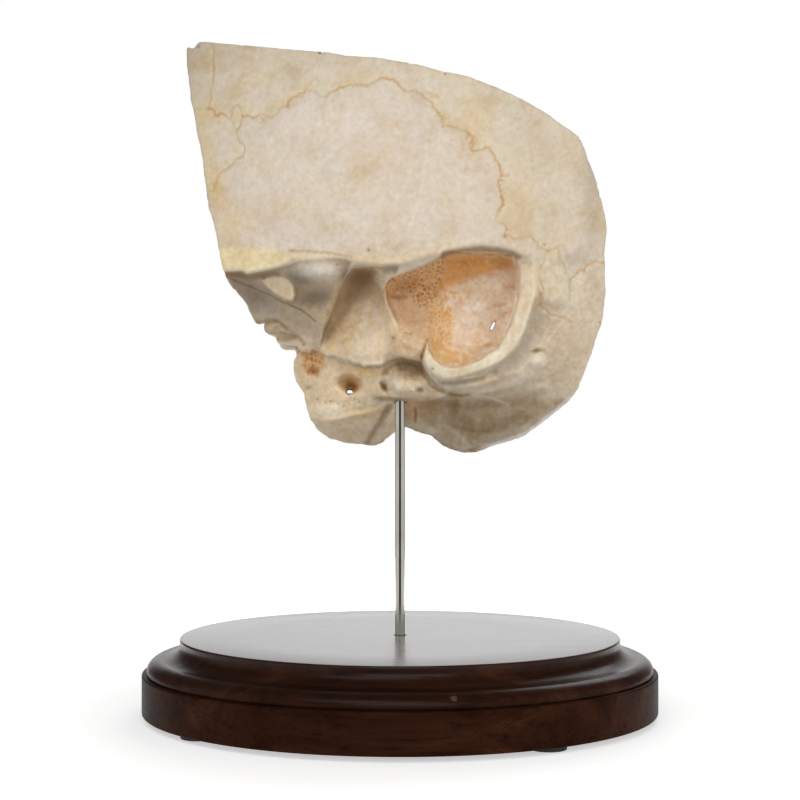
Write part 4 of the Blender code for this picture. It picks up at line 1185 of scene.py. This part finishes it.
# The short dark teeth of the beveled seam, as points that each tooth starts and ends at
TEETH = [
    ((429, 92), (433, 98)), ((432, 92), (436, 97)), ((437, 94), (439, 98)),
    ((444, 116), (441, 122)), ((446, 118), (443, 127)), ((470, 134), (467, 139)),
    ((477, 140), (471, 149)), ((475, 137), (470, 145)), ((500, 164), (503, 172)),
    ((501, 176), (509, 175)), ((499, 181), (504, 180)), ((500, 191), (504, 190)),
    ((502, 196), (504, 205)), ((505, 204), (498, 211)), ((508, 229), (512, 231)),
    ((506, 234), (507, 238)), ((289, 100), (288, 108)), ((262, 117), (264, 121)),
]


def layers(tint, coats):
    """Lay colours over the tint in turn: each has a share for every place, and a strength."""
    for share, colour, strength in coats:
        tint = blend(tint, colour, (np.clip(share, 0.0, 1.0) * strength)[..., None])
    return tint


def outer_tint(zones, depth):
    """The colour of every place on the outer side, with painted shade and painted highlights."""
    mottle, patch = clouds(24.0, 400, 4), clouds(60.0, 402, 3)
    seam_mottle = 0.6 + 0.4 * mottle
    squama = fill(region(BONES["temporal"][0]), 10.0)
    brushed = noise(4.0, 408, (1.0, 3.2)) + 0.5 * noise(2.2, 409, (1.0, 3.0))
    outward = blur((1.0 - squama) * stroke(SEAMS["squamous"], 14.0), 1.5)
    bar_end = [(218, 248), (250, 247), (280, 250), (296, 256), (286, 264), (262, 271), (246, 272),
               (222, 271), (214, 260)]
    bar_line = [(296, 258), (320, 256), (345, 258), (390, 261), (430, 253), (452, 246)]
    nuchal = past(ROW, 396.0, 8.0) * past(COLUMN, 400.0, 8.0)
    streaks = clouds(9.0, 406, 3, (0.8, 2.4))
    rim = fill(rough_region(RIM_OUTER + BOWL_FRONT), 5.0)
    tint = layers(np.broadcast_to(IVORY, PLAN_COUNT + (3,)), [
        (patch + 0.1, STRAW, 0.28),
        (squama * past(ROW, 262.0, -20.0), ROSY, 0.6),
        (brushed - 0.2, PALE, 0.22),
        (clouds(30.0, 407, 3) - 0.25, paint(228, 196, 146), 0.35),
        (np.clip(mottle, 0, 1) * (1.0 - 0.5 * squama), TAN, 0.22),
        (-mottle, PALE, 0.2),
        (past(ROW, 262.0, 30.0), TAN, 0.3),
        (outward * np.clip(0.7 + 0.5 * mottle, 0, 1), STRAW, 0.6),
        (stroke(SEAMS["pterion"], 9.0) * seam_mottle, STRAW, 0.5),
        (stroke(SEAMS["wing_upper"], 9.0) * seam_mottle, STRAW, 0.55),
        (stroke(SEAMS["coronal"], 8.0) * seam_mottle, STRAW, 0.5),
        (fill(region(bar_end), 5.0), paint(240, 222, 176), 0.9),
        (stroke(bar_line, 11.0), STRAW, 0.45),
        # Under the temple a darker grey-tan: partly the bone's own tan, partly painted shade on a
        # face that looks down
        (fill(region(INFRATEMPORAL), 5.0), paint(180, 160, 134), 0.85),
        (zones["plate"], paint(222, 198, 164), 0.9),
        (fill(region(UNDER_PLATE), 6.0), paint(230, 206, 170), 0.85),
        (zones["porous"], STAIN_AND_SHADE, 0.7),
        (fill(region(BOSS), 5.0), paint(226, 206, 174), 0.8),
        (nuchal, paint(184, 160, 124), 0.9),
        (nuchal * np.clip(streaks, 0, 1), BARK, 0.3),
        (nuchal * np.clip(-streaks, 0, 1), IVORY, 0.3),
        (nuchal * np.clip(clouds(10.0, 404, 3, (2.0, 0.7)), 0, 1), SHADE, 0.7),
    ])
    tint = layers(tint, ((spot(*oval), colour, share) for *oval, colour, share in SPOTS))
    tint = layers(tint, [
        (fill(region(TUBERCLE), 3.0), paint(230, 210, 176), 0.85),
        (rim, paint(232, 212, 184), 0.8),
        (rim * past(ROW, 340.0, 15.0), paint(236, 224, 194), 0.7),
        (zones["plate"] * np.clip(noise(5.0, 410, (0.6, 1.7)) - 0.1, 0, 1) * past(ROW, 298.0, 16.0),
         HONEY, 0.55),
    ])
    tint = layers(drilled_tint(tint, zones), (
        (stroke(wiggle(points, 0.4, 405), width), colour, share)
        for points, width, colour, share in LINES))
    tint = layers(tint, ((stroke(tooth, 1.4), GLUE, 0.5) for tooth in TEETH))
    grain = (noise(2.4, 411) + 0.7 * noise(4.5, 412)) * (0.6 + 0.4 * past(ROW, 235.0, 20.0))
    tint = tint * (1.0 + np.clip(grain, -1.0, 1.0)[..., None] * np.array((0.07, 0.10, 0.15)))
    tint = layers(tint, ((spot(column, row, wide * 1.3, wide * 1.1), paint(176, 110, 54), 0.8)
                         for column, row, wide in PITS))
    # Painted shade and highlight from the relief: hollows and creases darkened, ridges lightened,
    # less so in the bowl and ear
    calm = 1.0 - 0.75 * np.clip(zones["bowl"] + zones["ear"], 0, 1)
    relief_shade = (depth - blur(depth, 4.0)) * calm
    fine = (depth - blur(depth, 1.2)) * (0.4 + 0.6 * calm)
    tint = layers(tint, [(relief_shade / 2.2, UMBER, 0.45), (-relief_shade / 2.0, PALE, 0.28),
                         (fine / 0.5, EARTH, 0.5), (-fine / 0.4, PALE, 0.25)])
    return np.clip(tint, 0.0, 1.0)


def drilled_tint(tint, zones):
    """The colours of the drilled mastoid and the opened ear canal, with some painted shade and
    light.
    """
    bowl, ear, band = zones["bowl"], zones["ear"], zones["band"]
    fine_cells, open_cells = zones["fine_cells"], zones["open_cells"]
    wall = [(521, 268), (523, 290), (517, 314), (506, 334), (494, 350)]
    lower = [(430, 350), (440, 343), (455, 348), (475, 352), (482, 358), (464, 368), (446, 367),
             (434, 360)]
    low = [(x + 1.0, y + 3.0) for x, y in FOLDS[1]]
    speckled = np.clip(noise(3.0, 431) * 2.0 - 0.6, 0, 1) * np.maximum(bowl, ear)
    fleck = noise(2.8, 432) + 0.5 * noise(5.0, 433)
    plain = bowl * (1.0 - np.clip(band + fine_cells, 0.0, 1.0))
    tint = layers(tint, [
        (bowl, paint(238, 223, 204), 0.97),
        (ear, paint(226, 196, 162), 0.95),
        (bowl * np.clip(clouds(11.0, 420, 3) - 0.1, 0, 1), PALE, 0.6),
        (bowl * np.clip(clouds(8.0, 424, 3) - 0.25, 0, 1), HONEY, 0.3),
        (bowl * np.clip(noise(5.0, 426) - 0.4, 0, 1), PINK, 0.35),
        (spot(476, 308, 30, 30) * bowl, paint(240, 230, 222), 0.5),
        # Painted light on the bowl's right wall, which faces away from the lamps: this spot and the
        # stroke after it
        (spot(508, 300, 12, 34, 10) * bowl, paint(248, 226, 200), 0.6),
        (stroke(wall, 13.0), paint(250, 234, 208), 0.85),
        (fill(region(lower), 16.0) * bowl, HONEY, 0.85),
    ])
    tint = layers(tint, ((stroke(wiggle(line, 0.7, 43), 3.0) * bowl, paint(222, 160, 96), 0.26)
                         for line in FOLDS))
    tint = layers(tint, [
        (stroke(low, 3.0) * bowl, paint(244, 222, 200), 0.5),
        # The band's orange is the air cells' own colour; the two darker spots after it are painted
        # shadow under the overhanging rim
        (band, paint(206, 146, 84), 0.9),
        (spot(468, 262, 40, 10, -4) * band, paint(190, 116, 44), 0.8),
        (spot(502, 262, 17, 10) * bowl, paint(170, 110, 62), 0.9),
        (band * np.clip(noise(3.2, 430) * 2.0 - 0.5, 0, 1), GOLD, 0.5),
        (speckled * spot(448, 290, 32, 34, -20), paint(234, 166, 72), 0.85),
    ])
    tint = layers(tint, ((spot(column, row, wide * 1.1, wide * 0.9), paint(248, 160, 30), 0.95)
                         for column, row, wide in GLOWS))
    tint = layers(tint, [
        (fine_cells, paint(242, 210, 158), 0.6),
        (fine_cells * ease(cell_walls(*FINE_CELLS) * 1.5 - 0.55), GOLD, 0.6),
        (spot(443, 318, 12, 12), GOLD, 0.3),
        (spot(436, 350, 8, 14), HONEY, 0.6),
        (open_cells, paint(236, 208, 166), 0.9),
        (open_cells * ease(cell_walls(*OPEN_CELLS) * 1.5 - 0.3), paint(190, 118, 62), 0.8),
        (open_cells * spot(412, 283, 20, 14, -20), paint(176, 106, 54), 0.4),
        (open_cells * spot(396, 286, 9, 9), paint(226, 190, 146), 0.6),
        (stroke([(392, 277.5), (386.5, 283), (384.5, 290), (387, 297)], 3.5) * ear,
         paint(150, 88, 42), 0.8),
        (stroke([(386, 292), (391, 297), (400, 298), (406, 297)], 4.0) * ear,
         paint(186, 122, 70), 0.6),
        (stroke([(386, 296), (391, 307), (397, 320)], 4.0), paint(190, 146, 100), 0.7),
        (stroke(EAR_EDGE, 2.2), STAIN_AND_SHADE, 1.0),
    ])
    tint = layers(tint, ((stroke(wiggle(line, 0.9, 40), 3.2), paint(206, 146, 112), 0.4)
                         for line in CRACKS))
    return layers(tint, [
        (plain * np.clip(fleck - 0.2, 0, 1), paint(250, 242, 232), 0.65),
        (plain * np.clip(-fleck - 0.3, 0, 1), paint(212, 164, 128), 0.4),
        # Painted shade in the fold, then a painted highlight on the bulge below it
        (spot(489, 344.5, 11, 4, -6), STAIN_AND_SHADE, 0.7),
        (spot(490, 352, 10, 4, -10), BLUSH, 0.8),
    ])


def seam_stain():
    """How brown each place is from old glue and dust in the seams."""
    total = plan()
    for index, (name, line) in enumerate(SEAMS.items()):
        broken = np.clip(0.75 + 0.8 * noise(11.0, 440 + index), 0.15, 1.3)
        total = np.maximum(total, SEAM_TABLE[name][1] * broken * stroke(line, 2.0))
    for tooth in TEETH:
        total = np.maximum(total, 0.4 * stroke(tooth, 1.5))
    return np.clip(total, 0.0, 1.0)


def tint_bone(mesh, plans):
    """Give every point of a bone its colour."""
    places, columns, rows, depth = depth_within(mesh, plans)
    count = len(places)
    cut = picked(plans["saw"], (places[:, 0] - LOW[0]) / VOXEL, (places[:, 2] - LOW[2]) / VOXEL)
    outer = 1.0 - ease((depth - 0.9) / 1.4)
    sawn = ease(1.0 + (np.maximum(cut, places[:, 1] - MIDDLE_PLANE) - 0.1) / 1.1)
    spongy = ease((np.minimum(depth, 5.0) - 0.8) / 0.5) * ease((5.4 - depth) / 0.8)
    inside_tint = layers(np.broadcast_to(paint(220, 206, 180), (count, 3)), [
        # Darker where the inner side is worn deeper: painted shade in its grooves
        (picked(plans["worn"], columns, rows) / 2.5, paint(198, 172, 134), 0.8),
        (sawn * (1.0 - outer), paint(226, 212, 178), 0.8),
        (sawn * spongy, paint(196, 152, 96), 0.75),
    ])
    stain = picked(plans["stain"], columns, rows)
    outside = layers(picked(plans["tint"], columns, rows), [(stain, GLUE, 0.95)])
    colours = np.ones((count, 4), np.float32)
    colours[:, :3] = np.clip(blend(inside_tint, outside, outer[:, None]), 0.0, 1.0)
    for name, kind, key, values in (
            ("tint", "FLOAT_COLOR", "color", colours),
            ("stain", "FLOAT", "value", stain * outer),
            ("cells", "FLOAT", "value", picked(plans["cells"], columns, rows) * outer)):
        attribute = mesh.attributes.new(name, kind, "POINT")
        attribute.data.foreach_set(key, values.astype(np.float32).ravel())


# Materials

class Nodes:
    """Adds nodes to a tree. Each call sets or links a node's inputs and gives one output."""

    def __init__(self, tree):
        self.tree = tree

    def set_inputs(self, node, inputs):
        for key, value in dict(inputs).items():
            if isinstance(value, bpy.types.NodeSocket):
                self.tree.links.new(value, node.inputs[key])
            else:
                node.inputs[key].default_value = value

    def add(self, kind, inputs=(), out=0, **values):
        new = self.tree.nodes.new("ShaderNode" + kind)
        for key, value in values.items():
            setattr(new, key, value)
        self.set_inputs(new, inputs)
        return new.outputs[out]

    def shade(self, inputs):
        """Link or set the inputs of the tree's own shader."""
        self.set_inputs(self.tree.nodes["Principled BSDF"], inputs)

    def stretched(self, where, scale):
        return self.add("Mapping", {"Vector": where, "Scale": scale})

    def noise(self, where, scale, detail, rough=0.5, distortion=0.0):
        return self.add("TexNoise", {"Vector": where, "Scale": scale, "Detail": detail,
                                     "Roughness": rough, "Distortion": distortion}, "Fac")

    def math(self, operation, *inputs):
        return self.add("Math", enumerate(inputs), operation=operation)

    def span(self, value, low, high, least=0.0, most=1.0):
        """What runs from the least to the most while a value runs from low to high."""
        return self.add("MapRange", {"Value": value, "From Min": low, "From Max": high,
                                     "To Min": least, "To Max": most})

    def mix(self, share, first, second, **values):
        return self.add("Mix", {0: share, 6: first, 7: second}, 2, data_type="RGBA", **values)

    def ramp(self, value, stops):
        """A colour ramp: stops are (place, colour)."""
        made = self.add("ValToRGB", {"Fac": value})
        elements = made.node.color_ramp.elements
        while len(elements) < len(stops):
            elements.new(0.5)
        for element, (place, colour) in zip(elements, stops):
            element.position = place
            element.color = (*colour, 1.0)
        return made

    def shaded(self, colour, *ramps):
        """The colour darkened in turn by ramps, each a value and its stops."""
        for value, stops in ramps:
            colour = self.mix(1.0, colour, self.ramp(value, stops), blend_type="MULTIPLY")
        return colour

    def bump(self, height, strength, distance):
        return self.add("Bump", {"Height": height, "Strength": strength, "Distance": distance})


def new_material(name):
    """A material, what adds nodes to it, and the place of a point on its piece."""
    made = bpy.data.materials.new(name)
    made.use_nodes = True
    nodes = Nodes(made.node_tree)
    return made, nodes, nodes.add("TexCoord", out="Object")


def grey(value):
    return (value, value, value)


WHITE = grey(1.0)


def bone_material():
    """Dry bone: the painted colour with fine mottling, pores and a soft sheen."""
    made, nodes, where = new_material("dry_bone")
    tint = nodes.add("Attribute", out="Color", attribute_name="tint")
    broad = nodes.noise(where, 110.0, 5.0, 0.65)
    fine = nodes.noise(where, 700.0, 4.0, 0.7)
    pores = nodes.add("TexVoronoi", {"Vector": where, "Scale": 850.0}, feature="F1")
    colour = nodes.shaded(tint,
                          (broad, [(0.34, (0.93, 0.88, 0.79)), (0.5, WHITE), (0.68, WHITE)]),
                          (fine, [(0.3, (0.94, 0.92, 0.88)), (0.52, WHITE)]),
                          (pores, [(0.02, (0.86, 0.78, 0.66)), (0.14, WHITE)]))
    spongy = nodes.add("Attribute", out="Fac", attribute_name="cells")
    bent = nodes.add("VectorMath", {0: broad.node.outputs["Color"], 1: (0.0016,) * 3, 2: where},
                     operation="MULTIPLY_ADD")
    walls = nodes.add("TexVoronoi", {"Vector": bent, "Scale": 820.0}, feature="DISTANCE_TO_EDGE")
    hole = nodes.math("MULTIPLY", nodes.span(walls, 0.06, 0.26), spongy)
    hole = nodes.math("MULTIPLY", hole, 0.6)
    height = nodes.math("MULTIPLY_ADD", hole, -2.5, nodes.math("ADD", fine, pores))
    nodes.shade({"Base Color": nodes.mix(hole, colour, (0.66, 0.33, 0.10, 1.0)),
                 "Roughness": nodes.span(broad, 0.0, 1.0, 0.44, 0.66),
                 "Normal": nodes.bump(height, 0.35, 0.0002),
                 "Specular IOR Level": 0.32, "Subsurface Weight": 0.25,
                 "Subsurface Radius": (1.0, 0.55, 0.30), "Subsurface Scale": 0.0025})
    return made


def wood_material():
    """Dark stained hardwood under satin lacquer, its grain running across the picture."""
    made, nodes, where = new_material("espresso_wood")
    streaks = nodes.noise(nodes.stretched(where, (14.0, 620.0, 620.0)), 1.0, 6.0, 0.62, 0.4)
    bands = nodes.noise(nodes.stretched(where, (9.0, 90.0, 90.0)), 1.0, 3.0, 0.55, 0.8)
    pores = nodes.noise(nodes.stretched(where, (110.0, 1500.0, 1500.0)), 1.0, 2.0)
    colour = nodes.shaded(nodes.ramp(bands, [(0.30, (0.0160, 0.0050, 0.0024)),
                                             (0.50, (0.0280, 0.0092, 0.0042)),
                                             (0.72, (0.0480, 0.0170, 0.0080))]),
                          (streaks, [(0.36, grey(0.66)), (0.52, WHITE), (0.70, (1.0, 0.94, 0.88))]),
                          (pores, [(0.30, grey(0.60)), (0.40, WHITE)]))
    far = nodes.add("VectorMath", {0: where, 1: CHIP}, "Value", operation="DISTANCE")
    chip = nodes.span(nodes.math("MULTIPLY_ADD", streaks, 0.004, far), 0.0034, 0.0028)
    level = nodes.add("SeparateXYZ", {0: where}, "Z")
    side = PLINTH_FOOT + SHOULDER
    mould = nodes.span(level, side, side + 0.002, 0.0, 0.4)
    top = nodes.span(level, PLINTH_HIGH.z - 0.0015, PLINTH_HIGH.z, 0.0, 0.6)
    lacquer = nodes.math("ADD", mould, top)
    nodes.shade({"Base Color": nodes.mix(chip, colour, (0.11, 0.065, 0.045, 1.0)),
                 "Roughness": nodes.span(streaks, 0.0, 1.0, 0.42, 0.30),
                 "Normal": nodes.bump(nodes.math("ADD", streaks, pores), 0.4, 0.0002),
                 "Specular IOR Level": nodes.span(lacquer, 0.0, 1.0, 0.015, 0.1),
                 "Coat Weight": lacquer, "Coat Roughness": 0.2, "Coat IOR": 1.22})
    return made


def steel_material():
    """Polished steel rod with faint lines round it from its turning."""
    made, nodes, where = new_material("polished_steel")
    lines = nodes.noise(nodes.stretched(where, (60.0, 60.0, 4200.0)), 1.0, 3.0)
    smudge = nodes.noise(where, 140.0, 3.0)
    nodes.shade({"Base Color": nodes.ramp(smudge, [(0.3, (0.50, 0.47, 0.43)),
                                                   (0.7, (0.64, 0.61, 0.56))]),
                 "Roughness": nodes.span(smudge, 0.0, 1.0, 0.08, 0.16),
                 "Normal": nodes.bump(lines, 0.12, 0.0001), "Metallic": 1.0})
    return made


def rubber_material():
    """Black moulded rubber, matt and slightly dusty."""
    made, nodes, where = new_material("black_rubber")
    dust = nodes.noise(where, 240.0, 4.0)
    nodes.shade({"Base Color": nodes.ramp(dust, [(0.35, grey(0.012)), (0.75, grey(0.035))]),
                 "Roughness": nodes.span(dust, 0.0, 1.0, 0.62, 0.9),
                 "Normal": nodes.bump(nodes.noise(where, 1600.0, 3.0), 0.3, 0.0001)})
    return made


# Turned pieces, in metres

def place(mesh, name, body, slot, material, *nodes):
    """Put a finished mesh in the scene as the piece that stands for CAD nodes."""
    piece = bpy.data.objects.new(name, mesh)
    bpy.context.scene.collection.objects.link(piece)
    mesh.materials.append(material)
    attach(piece, body)
    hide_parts(*nodes)


def lathe(name, outline, steps, centre=(0.0, 0.0)):
    """Turn an outline of (radius, height) round the upright axis; it starts and ends on it."""
    mesh = bmesh.new()
    rings = []
    for radius, height in outline:
        if radius == 0.0:
            rings.append([mesh.verts.new((centre[0], centre[1], height))])
            continue
        turns = [2.0 * math.pi * step / steps for step in range(steps)]
        rings.append([mesh.verts.new((centre[0] + radius * math.cos(a),
                                      centre[1] + radius * math.sin(a), height))
                      for a in turns])
    for lower, upper in zip(rings, rings[1:]):
        for step in range(steps):
            after = (step + 1) % steps
            corners = [lower[step % len(lower)], lower[after % len(lower)],
                       upper[after % len(upper)], upper[step % len(upper)]]
            mesh.faces.new(list(dict.fromkeys(corners)))
    bmesh.ops.recalc_face_normals(mesh, faces=mesh.faces)
    made = bpy.data.meshes.new(name)
    mesh.to_mesh(made)
    mesh.free()
    made.shade_smooth()
    made.set_sharp_from_angle(angle=math.radians(32.0))
    return made


def arc(centre, radii, first, last, steps):
    """Points on an oval arc, its angles in degrees."""
    angles = [math.radians(first + (last - first) * step / steps) for step in range(steps + 1)]
    return [(centre[0] + radii[0] * math.cos(a), centre[1] + radii[1] * math.sin(a))
            for a in angles]


PLINTH_LOW, PLINTH_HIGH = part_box("plinth")
CHIP = (0.0122, -0.0632, 0.0140)
PLINTH_RADIUS = PLINTH_HIGH.x
PLINTH_TOP, PLINTH_FOOT = PLINTH_HIGH.z, PLINTH_LOW.z
TOP_RADIUS = 0.0573
SHOULDER, GROOVE, LIP = 0.0103, 0.0012, 0.0013
BEAD_WIDE, BEAD_HIGH = 0.0036, 0.0034
SOCKET_DEPTH, SOCKET_EDGE = 0.0130, 0.0003
EDGE = 0.0005
BEAD_NECK, NECK_HIGH = 0.0004, 0.0002
TOP_RINGS = (0.040, 0.020, 0.006)
ROD_EDGE, ROD_TIP, ROD_STEPS = 0.0002, 0.0004, 12
FOOT_EDGE, FOOT_DISH = 0.0003, 0.0002


def plinth_outline():
    """The turned edge: a plain side, a groove, a quarter bead, a small cove and the top's lip."""
    shoulder, lip = PLINTH_FOOT + SHOULDER, PLINTH_TOP - LIP
    bead_radius, bead_foot = PLINTH_RADIUS - GROOVE, shoulder + BEAD_NECK
    bead_middle = bead_radius - BEAD_WIDE
    cove_wide, cove_high = bead_middle - TOP_RADIUS, lip - bead_foot - BEAD_HIGH
    socket = BORE_RADIUS * MM
    return ([(0.0, PLINTH_FOOT)]
            + arc((PLINTH_RADIUS - EDGE, PLINTH_FOOT + EDGE), (EDGE, EDGE), -90, 0, 4)
            + arc((PLINTH_RADIUS - EDGE, shoulder - EDGE), (EDGE, EDGE), 0, 90, 5)
            + [(bead_radius - BEAD_NECK, shoulder), (bead_radius - BEAD_NECK, shoulder + NECK_HIGH)]
            + arc((bead_middle, bead_foot), (BEAD_WIDE, BEAD_HIGH), 0, 90, 16)
            + arc((bead_middle, lip), (cove_wide, cove_high), 270, 180, 16)
            + arc((TOP_RADIUS - EDGE, PLINTH_TOP - EDGE), (EDGE, EDGE), 0, 90, 5)
            + [(radius, PLINTH_TOP) for radius in TOP_RINGS]
            + [(socket + SOCKET_EDGE, PLINTH_TOP), (socket, PLINTH_TOP - SOCKET_EDGE),
               (socket, PLINTH_TOP - SOCKET_DEPTH), (0.0, PLINTH_TOP - SOCKET_DEPTH)])


def rod_outline():
    """A straight rod with a small chamfer at its foot and a rounded tip."""
    low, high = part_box("support_rod")
    radius = high.x
    straight = high.z - low.z - (ROD_EDGE + ROD_TIP)
    return ([(0.0, low.z), (radius - ROD_EDGE, low.z), (radius, low.z + ROD_EDGE)]
            + [(radius, low.z + straight * (step + 1) / ROD_STEPS) for step in range(ROD_STEPS)]
            + arc((radius - ROD_TIP, high.z - ROD_TIP), (ROD_TIP, ROD_TIP), 10, 90, 4)
            + [(0.0, high.z)])


def foot_outline(low, high):
    """A low pad with rounded edges and a shallow dish in its underside."""
    radius, edges = (high.x - low.x) / 2, (FOOT_EDGE, FOOT_EDGE)
    dish = low.z + FOOT_DISH
    return ([(0.0, dish), (radius * 0.55, dish), (radius * 0.62, low.z)]
            + arc((radius - FOOT_EDGE, low.z + FOOT_EDGE), edges, -90, 0, 3)
            + arc((radius - FOOT_EDGE, high.z - FOOT_EDGE), edges, 0, 90, 3)
            + [(0.0, high.z)])


# The bones

def relief():
    """Depth of the outer side over the whole plan, and where each kind of surface lies."""
    zones = zones_of_plan()
    depth = front_depth(BLOCK)
    stepped = [(424, 378), (520, 372), (526, 396), (470, 404), (430, 398)]
    depth = blend(depth, blur(depth, 2.5), fill(region(stepped), 8.0))
    depth = base_details(base_relief(vault_relief(depth)))
    depth = bone_texture(depth, zones)
    for name, line in SEAMS.items():
        depth += (0.05 if name == "mastoid_seam" else 0.3) * stroke(line, 1.5)
    for tooth in TEETH:
        depth += 0.3 * stroke(tooth, 1.5)
    whole = blur(depth, 0.5)
    depth = np.where(line_distance(SLIT) < SLIT_HALF_WIDTH, RIGHT_THROUGH, whole)
    return np.where(region(CAROTID_HOLE) < 0.0, RIGHT_THROUGH, depth), whole, zones


BLOCK = bone_block()
DEPTH, WHOLE, ZONES = relief()
WORN, SAW = inner_relief(), saw_line(blur(WHOLE, 3.0), edge_of_cut())
TABLES = compose(BLOCK, DEPTH, WORN, SAW)
drill(BLOCK, TABLES, SAW)
CELLS = np.clip(ZONES["open_cells"] + 0.6 * ZONES["fine_cells"] + 0.9 * ZONES["porous"], 0, 1)
PLANS = {"depth": WHOLE, "worn": WORN, "saw": SAW, "tint": outer_tint(ZONES, WHOLE),
         "stain": seam_stain(), "cells": CELLS}
BONE = bone_material()
for name, outlines in BONES.items():
    skin = thin_out(skin_mesh(name, *bone_field(BLOCK, outlines)), PLANS)
    tint_bone(skin, PLANS)
    place(skin, name, "skull", "bone", BONE, name + "_bone")

WOOD, STEEL, RUBBER = wood_material(), steel_material(), rubber_material()
place(lathe("turned_plinth", plinth_outline(), 256), "turned_plinth", "plinth",
      "stained_wood", WOOD, "plinth")
place(lathe("steel_rod", rod_outline(), 48), "steel_rod", "rod", "steel", STEEL, "support_rod")
for number in range(1, 5):
    low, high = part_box("foot_%d" % number)
    middle = ((low.x + high.x) / 2, (low.y + high.y) / 2)
    name = "rubber_foot_%d" % number
    place(lathe(name, foot_outline(low, high), 48, middle), name, "plinth", "rubber", RUBBER,
          "foot_%d" % number)


# The room, lights and camera

FRONT_LIGHT, BACK_LIGHT, SKY_LIGHT = 0.06, 1.2, 0.05
LAMP_TARGET = (0.0, 0.0, 0.12)
SIDE_LIGHT, SIDE_SHINE = 0.3, 0.75
FLOOR_RADIUS, FLOOR_BACK, FLOOR_STEPS = 0.30, 0.18, 128


def floor():
    """A round white table that shines a little by itself towards its edge, like the backdrop."""
    mesh = bpy.data.meshes.new("floor")
    turns = [2.0 * math.pi * step / FLOOR_STEPS for step in range(FLOOR_STEPS)]
    mesh.from_pydata([(FLOOR_RADIUS * math.cos(a), FLOOR_BACK + FLOOR_RADIUS * math.sin(a), 0.0)
                      for a in turns], [], [list(range(FLOOR_STEPS))])
    piece = bpy.data.objects.new("floor", mesh)
    bpy.context.scene.collection.objects.link(piece)
    made, nodes, where = new_material("pale_floor")
    far = nodes.add("VectorMath", {0: where}, "Value", operation="LENGTH")
    nodes.shade({"Emission Strength": nodes.span(far, 0.08, 0.24, 0.52, 1.0),
                 "Emission Color": (1.0, 1.0, 1.0, 1.0), "Base Color": (0.90, 0.90, 0.90, 1.0),
                 "Roughness": 0.9, "Specular IOR Level": 0.0})
    mesh.materials.append(made)


def area_light(name, place_at, size, power, mirrored=True):
    """A lamp that looks at the specimen."""
    lamp = bpy.data.lights.new(name, "AREA")
    lamp.shape = "RECTANGLE"
    lamp.size, lamp.size_y = size
    lamp.energy = power
    piece = bpy.data.objects.new(name, lamp)
    piece.location = place_at
    piece.visible_glossy = mirrored
    way = Vector(LAMP_TARGET) - Vector(place_at)
    piece.rotation_euler = way.to_track_quat("-Z", "Y").to_euler()
    bpy.context.scene.collection.objects.link(piece)


def studio():
    """A white room that shines more from behind and above than from the front."""
    world = bpy.data.worlds.new("studio")
    world.use_nodes = True
    nodes = Nodes(world.node_tree)
    x = nodes.add("SeparateXYZ", {0: nodes.add("TexCoord", out="Generated")}, "X")
    y, z = x.node.outputs["Y"], x.node.outputs["Z"]
    rays = nodes.add("LightPath").node.outputs
    ahead = nodes.math("MULTIPLY_ADD", y, -0.36, nodes.math("ABSOLUTE", x))
    gloss = nodes.span(rays["Is Glossy Ray"], 0.0, 1.0, SIDE_LIGHT, SIDE_SHINE)
    flat = nodes.span(nodes.math("ABSOLUTE", z), 0.25, 0.45, 1.0, 0.2)
    back = nodes.span(y, 0.88, 0.97, FRONT_LIGHT, BACK_LIGHT)
    side = nodes.span(ahead, 0.70, 0.84, 0.0, nodes.math("MULTIPLY", gloss, flat))
    sky = nodes.span(z, 0.1, 0.9, 0.0, SKY_LIGHT)
    total = nodes.math("ADD", nodes.math("ADD", back, side), sky)
    seen = nodes.add("Mix", {0: rays["Is Camera Ray"], 2: total, 3: 1.0})
    nodes.set_inputs(world.node_tree.nodes["Background"],
                     {"Color": (1.0, 1.0, 1.0, 1.0), "Strength": seen})
    bpy.context.scene.world = world
    area_light("key", (-0.25, -0.90, 0.88), (1.0, 0.35), 3.5)
    area_light("low", (0.05, -1.15, 0.50), (0.9, 0.4), 4.6)
    area_light("right", (0.95, -0.65, 0.55), (0.5, 0.5), 0.75, False)
    area_light("bounce", (0.05, -0.55, 0.01), (0.8, 0.3), 0.9, False)
    area_light("back", (0.30, 1.00, 0.80), (0.9, 0.6), 4.0)


floor()
studio()
lens = bpy.data.cameras.new("camera")
lens.sensor_width = SENSOR
lens.lens = FOCAL_UNITS / PLAN_WIDTH * SENSOR
lens.clip_start, lens.clip_end = 0.01, 20.0
camera = bpy.data.objects.new("camera", lens)
camera.location = (0.0, -CAMERA_DISTANCE * MM, CAMERA_HEIGHT * MM)
camera.rotation_euler = (math.radians(90.0), 0.0, 0.0)
bpy.context.scene.collection.objects.link(camera)
bpy.context.scene.camera = camera
bpy.context.scene.view_settings.view_transform = "Standard"
